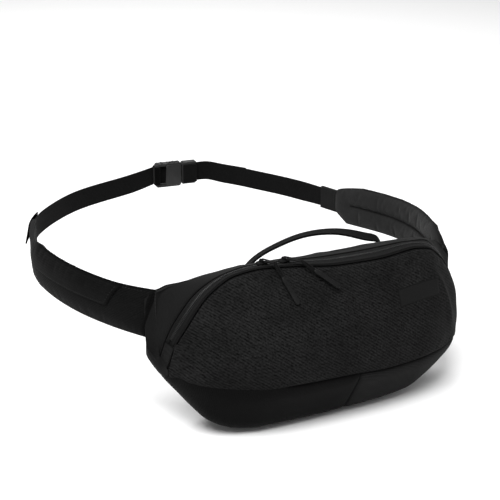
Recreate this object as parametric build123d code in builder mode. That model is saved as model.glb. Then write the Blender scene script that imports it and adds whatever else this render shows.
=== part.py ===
"""Zipped hip pack on its own waist belt, worn as a loop and closed by a side-release buckle.

Millimetres, +Z up. The origin is the centre of the waist loop, level with the middle of the belt.
-Y is the front of the pack and +Y the buckle; +X is to the right for someone facing the front.
A section of the pack is drawn in two numbers: out, forward from its flat back, and up, from its base.
"""
from build123d import *
from math import cos, hypot, radians, sin
import os

# ---- driving dimensions -------------------------------------------------------------------------
BACK_Y = -170.0          # the pack's flat back
BASE_Z = -111.0          # the lowest point of the pack
END_X = 156.0            # half the pack's length, where the belt's wings are sewn in
PANEL_END_X = 147.0      # half-length of the panels; closed ends lie beyond
FABRIC = 1.8             # laminated pack fabric with its lining

# Outer corners of the pack's section at each place along X, as (out, up): back top, rear zip seam,
# front zip seam, bulge, lower seam, base front, base back. The two ends differ, as a filled bag's do.
SECTIONS = {
    -156: ((0, 128), (2, 84), (4, 79), (6, 77), (6, 75), (4, 73), (0, 73)),
    -147: ((0, 133), (6, 73), (19, 67), (23, 64), (23, 60), (16, 57), (0, 59)),
    -141: ((0, 135), (8, 89), (26, 90), (35, 80), (33, 62), (23, 50), (0, 51)),
    -135: ((0, 137), (12, 104), (33, 106), (43, 86), (42, 59), (29, 43), (0, 43)),
    -115: ((0, 138), (18, 131), (41, 138), (60, 93), (59, 57), (44, 19), (0, 20)),
    -95: ((0, 138), (26, 145), (48, 153), (71, 95), (71, 56), (51, 11), (0, 10)),
    -74: ((0, 139), (30, 150), (51, 156), (79, 95), (79, 55), (55, 9), (0, 7)),
    -40: ((0, 139), (31, 149), (53, 153), (83, 94), (83, 54), (56, 9), (0, 6)),
    0: ((0, 137), (33, 147), (56, 148), (84, 92), (84, 53), (56, 8), (0, 6)),
    40: ((0, 137), (33, 146), (57, 147), (84, 92), (82, 50), (56, 9), (0, 7)),
    74: ((0, 137), (32, 146), (55, 149), (79, 93), (78, 50), (55, 11.5), (0, 9)),
    95: ((0, 136), (27, 143), (50, 145), (71, 93), (71, 49), (51, 18), (0, 13)),
    115: ((0, 135), (19, 138), (42, 131), (60, 91), (60, 47), (44, 25), (0, 23)),
    135: ((0, 132), (13, 119), (33, 106), (43, 85), (44, 45), (34, 34), (0, 35)),
    147: ((0, 126), (7, 98), (20, 86), (26, 74), (27, 50), (20, 43), (0, 45)),
    156: ((0, 112), (2, 90), (5, 84), (8, 77), (8, 66), (6, 60), (0, 59)),
}
STATIONS = (0, 8, 20, 40, 57, 74, 85, 95, 105, 115, 125, 131, 137, 142, 147)
REAR_SEAM, FRONT_SEAM, LOWER_SEAM, BASE_BACK, SECTION_CORNERS = 1, 2, 4, 6, 7
GUSSET_TOP_X = 95.0      # the gusset's top part is sewn to its side parts here

ZIP_REAR, ZIP_MIDDLE, ZIP_FRONT = 1.44, 1.52, 1.60    # the coils, as places between the two zip seams
COIL_RISE = 0.9          # how far the coils stand above their tapes
FLAP_GAP = 0.012         # play at the edges of the front panel, in the same measure
ZIP_END_X = 137.0        # the zip stops here, under a fabric end patch
BASE_SEAM_X = 8.0        # the seam across the base

STRAP_T = 1.4            # belt webbing
STRAP_H = 20.0
WING_LENGTH = 190.0      # padded wing, from the pack's end to its tab
WING_HALF_H = 22.0
WING_SKIN_T = 5.0        # each of a wing's two layers, at its root

BUCKLE_X, BUCKLE_Y, BUCKLE_Z = 36.0, 178.0, 3.0
BUCKLE_ANGLE = -8.0      # the buckle's own length, turned from +X
BUCKLE_H, BUCKLE_T = 27.0, 9.0

SLIDER_X = {"left": -67.0, "right": -46.0}

HANDLE_X, HANDLE_HALF, HANDLE_RISE = 8.0, 70.0, 20.4
HANDLE_W, HANDLE_T = 12.0, 2.0

os.makedirs("parts", exist_ok=True)


# ---- shared geometry ----------------------------------------------------------------------------
def corners(x):
    """The section's corners at x, from a smooth curve that keeps straight runs straight."""
    keys = sorted(SECTIONS)
    i = max(k for k in range(len(keys) - 1) if keys[k] <= x)
    spots = (keys[max(i - 1, 0)], keys[i], keys[i + 1], keys[min(i + 2, len(keys) - 1)])

    def value(corner, axis):
        heights = [SECTIONS[k][corner][axis] for k in spots]
        middle = (heights[2] - heights[1]) / (spots[2] - spots[1])
        steps = [(b - a) / (q - p) if q != p else middle for a, b, p, q in
                 zip(heights, heights[1:], spots, spots[1:])]
        ends = [2 * a * b / (a + b) if a * b > 0 else 0 for a, b in zip(steps, steps[1:])]
        span = spots[2] - spots[1]
        t = (x - spots[1]) / span
        return ((1 + 2 * t) * (1 - t) ** 2 * heights[1] + t * (1 - t) ** 2 * span * ends[0]
                + t * t * (3 - 2 * t) * heights[2] - t * t * (1 - t) * span * ends[1])

    return [(value(k, 0), value(k, 1)) for k in range(SECTION_CORNERS)]


def inset(points, depth):
    """The same closed outline, moved inwards by depth on every side."""
    result = []
    count = len(points)
    for k in range(count):
        (ax, ay), (bx, by), (cx, cy) = points[k - 1], points[k], points[(k + 1) % count]
        first, second = hypot(bx - ax, by - ay), hypot(cx - bx, cy - by)
        n1 = ((by - ay) / first, -(bx - ax) / first)
        n2 = ((cy - by) / second, -(cx - bx) / second)
        share = depth / (1 + n1[0] * n2[0] + n1[1] * n2[1])
        result.append((bx + (n1[0] + n2[0]) * share, by + (n1[1] + n2[1]) * share))
    return result


def between(points, place):
    """The point at a real-valued place round an outline: 1.5 is half-way from corner 1 to 2."""
    k = int(place)
    a, b = points[k % SECTION_CORNERS], points[(k + 1) % SECTION_CORNERS]
    t = place - k
    return (a[0] + (b[0] - a[0]) * t, a[1] + (b[1] - a[1]) * t)


def section_plane(x):
    """The plane of a section at x, whose two directions are out and up."""
    return Plane(origin=(x, BACK_Y, BASE_Z), x_dir=(0, -1, 0), z_dir=(-1, 0, 0))


def wall_outline(x, start, stop, outer=0.0, inner=FABRIC):
    """A strip of the pack's wall at x, between two places round the section."""
    base = corners(x)
    skin, lining = inset(base, outer), inset(base, inner)
    places = [start] + [k for k in range(SECTION_CORNERS + 1) if start < k < stop] + [stop]
    return [between(skin, p) for p in places] + [between(lining, p) for p in reversed(places)]


def stations(low, high):
    """Where the pack's sections are drawn, from low to high."""
    every = sorted({-s for s in STATIONS} | set(STATIONS))
    return [low] + [s for s in every if low < s < high] + [high]


def in_frame(x, out, up):
    """A point given by the pack's own measures, in the part's frame."""
    return (x, BACK_Y - out, BASE_Z + up)


def wall(start, stop, low, high, **depths):
    """A panel of the pack: the strip of wall between two places, from low to high along X."""
    with BuildPart() as panel:
        for x in stations(low, high):
            with BuildSketch(section_plane(x)):
                Polygon(*wall_outline(x, start, stop, **depths), align=None)
        loft(ruled=True)
    return panel


def save(piece, name):
    """Label a finished piece and write it."""
    piece.part.label = name
    export_step(piece.part, f"parts/{name}.step")


# ---- the pack's walls ---------------------------------------------------------------------------
PANELS = {
    "back_panel": (BASE_BACK, SECTION_CORNERS, -PANEL_END_X, PANEL_END_X),
    "gusset_left": (0, REAR_SEAM, -PANEL_END_X, -GUSSET_TOP_X),
    "gusset_top": (0, REAR_SEAM, -GUSSET_TOP_X, GUSSET_TOP_X),
    "gusset_right": (0, REAR_SEAM, GUSSET_TOP_X, PANEL_END_X),
    "zip_tape_rear": (REAR_SEAM, ZIP_REAR, -ZIP_END_X, ZIP_END_X),
    "zip_end_left": (REAR_SEAM, FRONT_SEAM, -PANEL_END_X, -ZIP_END_X),
    "zip_end_right": (REAR_SEAM, FRONT_SEAM, ZIP_END_X, PANEL_END_X),
    "bottom_panel_left": (LOWER_SEAM, BASE_BACK, -PANEL_END_X, BASE_SEAM_X),
    "bottom_panel_right": (LOWER_SEAM, BASE_BACK, BASE_SEAM_X, PANEL_END_X),
    # the next two fold forward with the flap, so they keep clear of the fixed edges
    "zip_tape_front": (ZIP_FRONT, FRONT_SEAM, -ZIP_END_X, ZIP_END_X),
    "front_panel": (FRONT_SEAM, LOWER_SEAM - FLAP_GAP, -PANEL_END_X, PANEL_END_X),
}
for name, (start, stop, low, high) in PANELS.items():
    save(wall(start, stop, low, high), name)

# The two halves of the zip's coil stand a little above their tapes.
save(wall(ZIP_REAR, ZIP_MIDDLE - FLAP_GAP, -ZIP_END_X, ZIP_END_X, outer=-COIL_RISE), "zip_coil_rear")
save(wall(ZIP_MIDDLE, ZIP_FRONT, -ZIP_END_X, ZIP_END_X, outer=-COIL_RISE), "zip_coil_front")

# Closed ends, where every panel meets and the belt's wings are sewn in.
for side, sign in (("left", -1), ("right", 1)):
    with BuildPart() as pack_end:
        for x in (PANEL_END_X, 151, END_X):
            with BuildSketch(section_plane(sign * x)):
                Polygon(*corners(x), align=None)
        loft(ruled=True)
    save(pack_end, f"pack_end_{side}")

# ---- back: stiffener, pads, pocket, key clip ----------------------------------------------------
BACK_UP = 74.0           # the middle of the pads and of the stiffener
STIFFENER = (200.0, 96.0, 2.0, 20.0)          # width, height, thickness, corner radius
PAD_T, PAD_CORNER, PAD_EDGE = 7.0, 16.0, 3.0
LINING_GAP = 0.2

with BuildPart() as back_stiffener:
    width, height, thickness, corner = STIFFENER
    with BuildSketch(Plane.XZ.offset(-BACK_Y + FABRIC + LINING_GAP)):
        with Locations((0, BASE_Z + BACK_UP)):
            RectangleRounded(width, height, corner)
    extrude(amount=thickness)
save(back_stiffener, "back_stiffener")

BACK_PADS = {            # middle, width, height
    "back_pad_left": (-82, 92, 104), "back_pad_middle": (0, 56, 76), "back_pad_right": (82, 92, 104),
}
for name, (middle, width, height) in BACK_PADS.items():
    with BuildPart() as pad:
        with BuildSketch(Plane.XZ.offset(-BACK_Y)):
            with Locations((middle, BASE_Z + BACK_UP)):
                RectangleRounded(width, height, PAD_CORNER)
        extrude(amount=-PAD_T)
        fillet(pad.faces().sort_by(Axis.Y)[-1].edges(), PAD_EDGE)
    save(pad, name)

POCKET_OUT, POCKET_UP = 7.0, 62.0
POCKET = (190.0, 74.0, 0.8, 10.0)             # width, height, thickness, corner radius
with BuildPart() as inner_pocket:
    width, height, thickness, corner = POCKET
    with BuildSketch(Plane.XZ.offset(-BACK_Y + POCKET_OUT)):
        with Locations((0, BASE_Z + POCKET_UP)):
            RectangleRounded(width, height, corner)
    extrude(amount=thickness)
save(inner_pocket, "inner_pocket")

KEY_X, KEY_TOP = 118.0, 128.0
KEY_STRAP_W, KEY_STRAP_L, KEY_STRAP_T, KEY_STRAP_GAP = 10.0, 30.0, 1.2, 1.0
HOOK_L, HOOK_W, HOOK_WIRE, HOOK_T, HOOK_GAP = 24.0, 10.0, 2.5, 2.4, 0.6
with BuildPart() as key_strap:
    with BuildSketch(Plane.XZ.offset(-BACK_Y + FABRIC + KEY_STRAP_GAP)):
        with Locations((KEY_X, BASE_Z + KEY_TOP - KEY_STRAP_L / 2)):
            Rectangle(KEY_STRAP_W, KEY_STRAP_L)
    extrude(amount=KEY_STRAP_T)
save(key_strap, "key_strap")

with BuildPart() as key_hook:
    with BuildSketch(Plane.XZ.offset(-BACK_Y + FABRIC + HOOK_GAP)):
        with Locations((KEY_X, BASE_Z + KEY_TOP - KEY_STRAP_L - HOOK_L / 2 - LINING_GAP)):
            SlotOverall(HOOK_L, HOOK_W, rotation=90)
            SlotOverall(HOOK_L - 2 * HOOK_WIRE, HOOK_W - 2 * HOOK_WIRE, rotation=90, mode=Mode.SUBTRACT)
    extrude(amount=HOOK_T)
save(key_hook, "key_hook")

# ---- blank fabric patch on the front ------------------------------------------------------------
PATCH_TOP, PATCH_BOTTOM = 2.39, 2.59      # places on the section, a little below the front seam
PATCH_LOW_X, PATCH_HIGH_X = 49.0, 95.0
PATCH_FACE, PATCH_BACK = -1.0, -0.3       # its two faces, both just outside the front panel
save(wall(PATCH_TOP, PATCH_BOTTOM, PATCH_LOW_X, PATCH_HIGH_X, outer=PATCH_FACE, inner=PATCH_BACK),
     "blank_patch")

# ---- zip sliders and their pulls ----------------------------------------------------------------
SLIDER_L, SLIDER_W, PLATE_T, SLIDER_CORNER = 9.0, 7.0, 1.2, 2.0
SLIDER_RISE = COIL_RISE + 1.3     # the slider's top plate, above the middle of the tapes
CROWN_L, CROWN_W, CROWN_H, CROWN_T = 4.6, 1.4, 3.8, 0.8
PIVOT_RISE = 1.8         # the tab's pin, above the slider's plate
# Each pull runs from its slider to the front seam and down the front, leaning to one side.
PULLS = {
    "left": {"edge": (-62.0, 54.8, 158.6), "tip": (-49.0, 72.5, 126.0)},
    "right": {"edge": (-37.0, 56.0, 156.4), "tip": (-8.5, 71.0, 133.0)},
}
TAB_W, TAB_T, TAB_SLOT_L, TAB_EYE_R, TAB_RIM = 4.6, 1.0, 4.4, 1.1, 1.0
GRIP_W, GRIP_T, GRIP_EDGE, CORD_D = 5.0, 2.8, 0.8, 1.8
CORD_SHARE = 0.32        # how much of the pull below its tab is bare cord
PULL_GAP = 1.2


def run_plane(start, stop, up=(0, -0.6, 0.8)):
    """A plane at start whose X runs to stop and whose Z is as near to up as it can be."""
    along = (Vector(*stop) - Vector(*start)).normalized()
    across = along.cross(Vector(*up)).normalized()
    return Plane(origin=start, x_dir=along, z_dir=across.cross(along))


for side, places in PULLS.items():
    zip_out, zip_up = between(corners(SLIDER_X[side]), ZIP_MIDDLE)
    plate = in_frame(SLIDER_X[side], zip_out, zip_up + SLIDER_RISE)
    pivot = (plate[0], plate[1], plate[2] + PLATE_T + PIVOT_RISE)
    edge, tip = in_frame(*places["edge"]), in_frame(*places["tip"])
    tab_length = (Vector(*edge) - Vector(*pivot)).length
    drop = (Vector(*tip) - Vector(*edge)).length

    crown_plane = Plane(origin=(plate[0], plate[1], plate[2] + PLATE_T),
                        x_dir=(edge[0] - pivot[0], edge[1] - pivot[1], 0), z_dir=(0, 0, 1))
    with BuildPart() as slider:
        with BuildSketch(Plane.XY.offset(plate[2])):
            with Locations(plate[:2]):
                RectangleRounded(SLIDER_L, SLIDER_W, SLIDER_CORNER)
        extrude(amount=PLATE_T)
        with BuildSketch(crown_plane):
            Rectangle(CROWN_L, CROWN_W)
        extrude(amount=CROWN_H)
        with BuildSketch(crown_plane):
            Rectangle(CROWN_L - 2 * CROWN_T, CROWN_W + 1)
        extrude(amount=CROWN_H - CROWN_T, mode=Mode.SUBTRACT)
    save(slider, f"slider_{side}")

    with BuildPart() as pull_tab:
        with BuildSketch(run_plane(pivot, edge, up=(0, 0, 1)).offset(-TAB_T / 2)):
            with Locations((tab_length / 2, 0)):
                Rectangle(tab_length + TAB_T, TAB_W)
            with Locations(((TAB_T + TAB_SLOT_L) / 2, 0)):
                Rectangle(TAB_SLOT_L, TAB_W - 2 * TAB_RIM, mode=Mode.SUBTRACT)
            with Locations((tab_length - TAB_EYE_R - TAB_RIM + 0.1, 0)):
                Circle(TAB_EYE_R, mode=Mode.SUBTRACT)
        extrude(amount=TAB_T)
    save(pull_tab, f"pull_tab_{side}")

    grip_plane = run_plane(edge, tip)
    cord_length = drop * CORD_SHARE
    with BuildPart() as pull_cord:
        with BuildSketch(grip_plane.offset(-CORD_D / 2)):
            with Locations((cord_length / 2 + PULL_GAP, 0)):
                SlotOverall(cord_length, TAB_W)
                SlotOverall(cord_length - 2 * TAB_RIM, TAB_W - 2 * TAB_RIM, mode=Mode.SUBTRACT)
        extrude(amount=CORD_D)
    save(pull_cord, f"pull_cord_{side}")

    with BuildPart() as pull_grip:
        with BuildSketch(grip_plane.offset(-GRIP_T / 2)):
            with Locations(((cord_length + drop) / 2 + PULL_GAP, 0)):
                SlotOverall(drop - cord_length, GRIP_W)
        extrude(amount=GRIP_T)
        fillet(pull_grip.faces().filter_by(GeomType.PLANE).edges(), GRIP_EDGE)
    save(pull_grip, f"pull_grip_{side}")

# ---- grab handle --------------------------------------------------------------------------------
HANDLE_OUT, HANDLE_UP = -11.0, 139.8
FOOT_W = HANDLE_T * 1.6
ANCHOR_L, ANCHOR_T, ANCHOR_H, ANCHOR_TOP, ANCHOR_GAP = 8.0, 2.6, 9.0, 135.0, 0.5
with BuildPart() as grab_handle:
    with BuildSketch(Plane.XZ.offset(-BACK_Y + HANDLE_OUT)):
        with BuildLine():
            foot = BASE_Z + HANDLE_UP
            low_x, high_x = HANDLE_X - HANDLE_HALF, HANDLE_X + HANDLE_HALF
            ThreePointArc((low_x, foot), (HANDLE_X, foot + HANDLE_RISE), (high_x, foot))
            Line((high_x, foot), (high_x - FOOT_W, foot))
            ThreePointArc((high_x - FOOT_W, foot), (HANDLE_X, foot + HANDLE_RISE - HANDLE_T),
                          (low_x + FOOT_W, foot))
            Line((low_x + FOOT_W, foot), (low_x, foot))
        make_face()
    extrude(amount=HANDLE_W)
save(grab_handle, "grab_handle")

for side, sign in (("left", -1), ("right", 1)):
    with BuildPart() as anchor:
        with BuildSketch(Plane.XY.offset(BASE_Z + ANCHOR_TOP)):
            with Locations((HANDLE_X + sign * (HANDLE_HALF + ANCHOR_L / 2 + ANCHOR_GAP),
                            BACK_Y + ANCHOR_T / 2 + LINING_GAP)):
                Rectangle(ANCHOR_L, ANCHOR_T)
        extrude(amount=-ANCHOR_H)
    save(anchor, f"handle_anchor_{side}")

# ---- belt ---------------------------------------------------------------------------------------
turn = radians(BUCKLE_ANGLE)
BUCKLE = Plane(origin=(BUCKLE_X, BUCKLE_Y, BUCKLE_Z), x_dir=(cos(turn), sin(turn), 0),
               z_dir=(sin(turn), -cos(turn), 0))


def on_buckle(along, across=0.0):
    """A point by its distance along the buckle and across its thickness, towards the wearer."""
    return (BUCKLE_X + along * cos(turn) + across * sin(turn),
            BUCKLE_Y + along * sin(turn) - across * cos(turn), BUCKLE_Z)


ROUTES = {
    "left": Spline((-157, -168, 0), (-168, -139, 0), (-180, -103, 0), (-188, -62, 0), (-190, -22, 0),
                   (-185, 16, 0), (-172, 56, 0), (-151, 94, 0), (-122, 124, 0), (-88, 148, 0),
                   (-50, 163, 0), (-15, 172, 1.5), on_buckle(-22.4)),
    "right": Spline((153, -168, 0), (161, -136, 0), (171, -103, 0), (173.5, -70, 0), (168, -40, 0),
                    (158, -12, 0), (149, 14, 0), (142, 42, 0), (134, 69, 0), (124, 95, 0),
                    (112, 121, 0), (99, 146, 0.5), (86, 163.5, 1.8), on_buckle(38), on_buckle(31),
                    on_buckle(24)),
}
OUTWARD = {"left": 1, "right": -1}
TAB_LENGTH = {"left": 46.0, "right": 22.0}
TAB_HALF_H, TAB_HALF_T = 12.0, 2.2
TAPER, TAPER_POWER = 34.0, 0.6     # the last of each wing, where it narrows to its tab
STEP, MIN_STEP = 6.0, 1.0      # all bands on the belt share one set of cross-sections


def belt_plane(side, s):
    """The plane across a belt half at arc length s, with X pointing away from the wearer."""
    at = ROUTES[side].position_at(s, position_mode=PositionMode.LENGTH)
    along = ROUTES[side].tangent_at(s, position_mode=PositionMode.LENGTH)
    return Plane(origin=at, x_dir=Vector(-along.Y, along.X, 0) * OUTWARD[side], z_dir=along)


def strip(side, start, stop, outline):
    """A band along the belt from start to stop; outline(s) gives (near, far, low, high) there."""
    grid = [k * STEP for k in range(int(stop / STEP) + 1) if start + MIN_STEP < k * STEP < stop - MIN_STEP]
    with BuildPart() as band:
        for s in [start] + grid + [stop]:
            near, far, low, high = outline(s)
            plane = belt_plane(side, s)
            flip = 1 if plane.y_dir.Z > 0 else -1
            low, high = low * flip, high * flip
            with BuildSketch(plane):
                Polygon((near, low), (far, low), (far, high), (near, high), align=None)
        loft(ruled=True)
    return band


def wing_taper(s):
    """1 on the wing's full part, falling to 0 at its tab."""
    return min(1.0, (WING_LENGTH - s) / TAPER)


def wing_half_h(s):
    return TAB_HALF_H + (WING_HALF_H - TAB_HALF_H) * wing_taper(s) ** TAPER_POWER


def wing_skin(s):
    return TAB_HALF_T + (WING_SKIN_T - TAB_HALF_T) * wing_taper(s)


def outer_layer(s):
    return (0, wing_skin(s), -wing_half_h(s), wing_half_h(s))


def inner_layer(s):
    return (-wing_skin(s), 0, -wing_half_h(s), wing_half_h(s))


def sleeve_layer(s):
    near = wing_skin(s) + SLEEVE_GAP
    return (near, near + SLEEVE_T, 0, wing_half_h(s) - SLEEVE_HEM)


def tab_layer(s):
    return (-TAB_HALF_T, TAB_HALF_T, -TAB_HALF_H, TAB_HALF_H)


def strap_layer(s):
    return (-STRAP_T / 2, STRAP_T / 2, -STRAP_H / 2, STRAP_H / 2)


def tail_layer(s):
    near = STRAP_T / 2 + TAIL_GAP
    return (near, near + STRAP_T, -STRAP_H / 2, STRAP_H / 2)


def fold_layer(s):
    near = TAB_HALF_T + FOLD_GAP + (s - WING_LENGTH) * FOLD_LEAN
    return (near, near + STRAP_T, -STRAP_H / 2, STRAP_H / 2)


SLEEVE_START, SLEEVE_STOP, SLEEVE_GAP, SLEEVE_T, SLEEVE_HEM = 24.0, 168.0, 0.1, 1.2, 1.0
TAIL_LENGTH, TAIL_GAP = 62.0, 0.2
FOLD_START, FOLD_STOP, FOLD_GAP, FOLD_LEAN = 6.0, 44.0, 1.0, 0.12    # the loose end beside the left tab

for side, route in ROUTES.items():
    tab_stop = WING_LENGTH + TAB_LENGTH[side]
    save(strip(side, 0, WING_LENGTH, outer_layer), f"wing_{side}_outer")
    save(strip(side, 0, WING_LENGTH, inner_layer), f"wing_{side}_pad")
    save(strip(side, SLEEVE_START, SLEEVE_STOP, sleeve_layer), f"wing_{side}_sleeve")
    save(strip(side, WING_LENGTH, tab_stop, tab_layer), f"wing_{side}_tab")
    save(strip(side, tab_stop, route.length, strap_layer), f"webbing_{side}")

right_length = ROUTES["right"].length
save(strip("right", right_length - TAIL_LENGTH, right_length, tail_layer), "webbing_tail")
save(strip("left", WING_LENGTH + FOLD_START, WING_LENGTH + FOLD_STOP, fold_layer), "webbing_stow_end")

# ---- side-release buckle ------------------------------------------------------------------------
HOUSING = (-6.5, 9.0)            # along the buckle: the socket that the prongs enter
BAR = (-20.0, -16.6)             # the bar that the left webbing is sewn round
WINDOW_H = STRAP_H + 1.2
CAVITY_H, CAVITY_T, CAVITY_WALL, SIDE_WINDOW_MARGIN = 21.4, 5.6, 1.0, (2.0, 4.0)
SLEEVE = (9.8, 26.0)             # the male half's sleeve, which grips the right webbing
SLEEVE_H, SLEEVE_DEPTH = BUCKLE_H - 2.4, BUCKLE_T - 1.0
CHANNEL_L, CHANNEL_H = 15.0, STRAP_H + 1.0
TONGUE_H, TONGUE_T, TONGUE_TIP = 6.0, 3.6, 3.5
PRONG_T, PRONG_H, PRONG_Z = 3.4, 2.4, 8.4
PRONG_PIVOT, PRONG_TIP = 9.7, -5.2
CUT = 1.0                        # how far a cut runs past the face it opens
FEMALE_CORNER, FEMALE_EDGE, MALE_CORNER, MALE_EDGE = 3.0, 1.4, 2.0, 1.2


def block(x_span, height, thickness, radius=0.0, mode=Mode.ADD):
    """A plate centred on the buckle's axis, over x_span along it, inside an open BuildPart."""
    with BuildSketch(BUCKLE.offset(-thickness / 2)) as plate:
        with Locations(((x_span[0] + x_span[1]) / 2, 0)):
            if radius:
                RectangleRounded(x_span[1] - x_span[0], height, radius)
            else:
                Rectangle(x_span[1] - x_span[0], height)
    extrude(plate.sketch, amount=thickness, mode=mode)


def soften(body, radius):
    """Round the edges of a buckle half's front and back faces."""
    fillet(body.faces().sort_by(Axis.Y)[0].edges(), radius)
    fillet(body.faces().sort_by(Axis.Y)[-1].edges(), radius)


with BuildPart() as buckle_female:
    block((BAR[0], HOUSING[1]), BUCKLE_H, BUCKLE_T, FEMALE_CORNER)
    soften(buckle_female, FEMALE_EDGE)
    block((BAR[1], HOUSING[0]), WINDOW_H, BUCKLE_T + 2 * CUT, mode=Mode.SUBTRACT)
    block((HOUSING[0] + CAVITY_WALL, HOUSING[1] + CUT), CAVITY_H, CAVITY_T, mode=Mode.SUBTRACT)
    block((HOUSING[0] + SIDE_WINDOW_MARGIN[0], HOUSING[1] - SIDE_WINDOW_MARGIN[1]), BUCKLE_H + 2 * CUT,
          CAVITY_T, mode=Mode.SUBTRACT)
save(buckle_female, "buckle_female")

with BuildPart() as buckle_male:
    block(SLEEVE, SLEEVE_H, SLEEVE_DEPTH, MALE_CORNER)
    soften(buckle_male, MALE_EDGE)
    block((SLEEVE[1] - CHANNEL_L, SLEEVE[1] + CUT), CHANNEL_H, CAVITY_T, mode=Mode.SUBTRACT)
    block((HOUSING[0] + TONGUE_TIP, SLEEVE[0] + 0.6), TONGUE_H, TONGUE_T)
save(buckle_male, "buckle_male")

for name, sign in (("buckle_prong_upper", 1), ("buckle_prong_lower", -1)):
    with BuildPart() as prong:
        with BuildSketch(BUCKLE.offset(-PRONG_T / 2)):
            with Locations(((PRONG_PIVOT + PRONG_TIP) / 2, sign * PRONG_Z)):
                SlotOverall(PRONG_PIVOT - PRONG_TIP, PRONG_H)
        extrude(amount=PRONG_T)
    save(prong, name)

LOOP_GAP, LOOP_CORNER = 0.1, 2.0
bar_w, bar_t = BAR[1] - BAR[0] + LOOP_GAP, BUCKLE_T + LOOP_GAP
with BuildPart() as webbing_loop_left:
    with BuildSketch(Plane(origin=(BUCKLE_X, BUCKLE_Y, BUCKLE_Z - STRAP_H / 2),
                           x_dir=(cos(turn), sin(turn), 0), z_dir=(0, 0, 1))):
        with Locations(((BAR[0] + BAR[1]) / 2, 0)):
            RectangleRounded(bar_w + 2 * STRAP_T, bar_t + 2 * STRAP_T, LOOP_CORNER)
            Rectangle(bar_w, bar_t, mode=Mode.SUBTRACT)
    extrude(amount=STRAP_H)
save(webbing_loop_left, "webbing_loop_left")
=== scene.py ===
"""The looks of the zipped hip pack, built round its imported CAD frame.

Lengths are in millimetres, in the part's own frame, until make() writes a mesh in metres.
A section of the pack is drawn as in the part: out, forward from its flat back, and up, from its base.
"""

from math import cos, pi, radians, sin

import bpy
import numpy as np
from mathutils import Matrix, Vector, noise


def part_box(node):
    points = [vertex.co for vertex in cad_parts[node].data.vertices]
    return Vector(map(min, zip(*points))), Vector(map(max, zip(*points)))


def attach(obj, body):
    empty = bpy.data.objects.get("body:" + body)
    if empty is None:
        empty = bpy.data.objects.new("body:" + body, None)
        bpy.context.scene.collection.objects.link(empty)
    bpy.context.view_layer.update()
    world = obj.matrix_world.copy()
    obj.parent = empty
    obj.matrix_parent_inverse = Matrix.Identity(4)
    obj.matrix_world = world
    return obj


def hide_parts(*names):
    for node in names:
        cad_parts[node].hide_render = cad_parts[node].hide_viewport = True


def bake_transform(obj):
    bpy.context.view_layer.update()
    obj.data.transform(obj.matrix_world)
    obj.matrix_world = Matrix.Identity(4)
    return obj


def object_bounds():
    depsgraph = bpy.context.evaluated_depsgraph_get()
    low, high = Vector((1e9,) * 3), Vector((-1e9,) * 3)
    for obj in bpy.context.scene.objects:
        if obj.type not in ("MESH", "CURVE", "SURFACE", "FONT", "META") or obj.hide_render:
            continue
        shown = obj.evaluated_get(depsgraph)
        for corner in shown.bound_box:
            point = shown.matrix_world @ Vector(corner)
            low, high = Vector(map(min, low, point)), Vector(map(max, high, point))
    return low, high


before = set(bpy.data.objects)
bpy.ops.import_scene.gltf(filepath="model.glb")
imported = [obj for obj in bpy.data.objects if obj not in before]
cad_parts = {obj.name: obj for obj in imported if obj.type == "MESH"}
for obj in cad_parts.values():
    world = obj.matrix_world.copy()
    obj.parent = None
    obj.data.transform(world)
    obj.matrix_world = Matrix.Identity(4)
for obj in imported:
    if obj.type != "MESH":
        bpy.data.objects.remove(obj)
CAD_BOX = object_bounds()
SCENE = bpy.context.scene

# ---- the camera, the light and the floor --------------------------------------------------------
CAMERA_AZIMUTH, CAMERA_ELEVATION = radians(-28.5), radians(20.0)
CAMERA_TARGET, CAMERA_DISTANCE = Vector((0.012, -0.046, -0.011)), 1.350
CAMERA_LENS, CAMERA_SENSOR = 100.4, 36.0
SKY_STRENGTH = 0.42
LIGHTS = {     # name: (place, size, watts)
    "key": ((-0.8, -1.0, 1.8), 1.2, 64.0),
    "fill": ((1.3, -1.1, 0.9), 1.4, 2.0),
    "rear": ((0.3, 1.3, 1.6), 1.5, 24.0),
}


def stand(name, data, place, towards):
    """An object at place that looks along towards."""
    made = bpy.data.objects.new(name, data)
    made.location = place
    made.rotation_mode = "QUATERNION"
    made.rotation_quaternion = towards.to_track_quat("-Z", "Y")
    SCENE.collection.objects.link(made)
    return made


camera_back = Vector((sin(CAMERA_AZIMUTH) * cos(CAMERA_ELEVATION),
                      -cos(CAMERA_AZIMUTH) * cos(CAMERA_ELEVATION), sin(CAMERA_ELEVATION)))
camera = stand("camera", bpy.data.cameras.new("camera"), CAMERA_TARGET + camera_back * CAMERA_DISTANCE,
               -camera_back)
camera.data.lens, camera.data.sensor_width = CAMERA_LENS, CAMERA_SENSOR
SCENE.camera = camera
SCENE.view_settings.view_transform = "Standard"

for name, (place, size, watts) in LIGHTS.items():
    lamp = stand(name, bpy.data.lights.new(name, "AREA"), place, -Vector(place))
    lamp.data.size, lamp.data.energy = size, watts

world = bpy.data.worlds.new("studio")
world.use_nodes = True
sky = world.node_tree.nodes["Background"].inputs
sky[0].default_value, sky[1].default_value = (1.0, 1.0, 1.0, 1.0), SKY_STRENGTH
SCENE.world = world

# ---- materials ----------------------------------------------------------------------------------
SEAM_PAINTED_SHADE = (0.3, 2.2, 0.12, 1.0)     # from and to how far from a seam, and how dark: painted shade in the seams' creases


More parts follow.
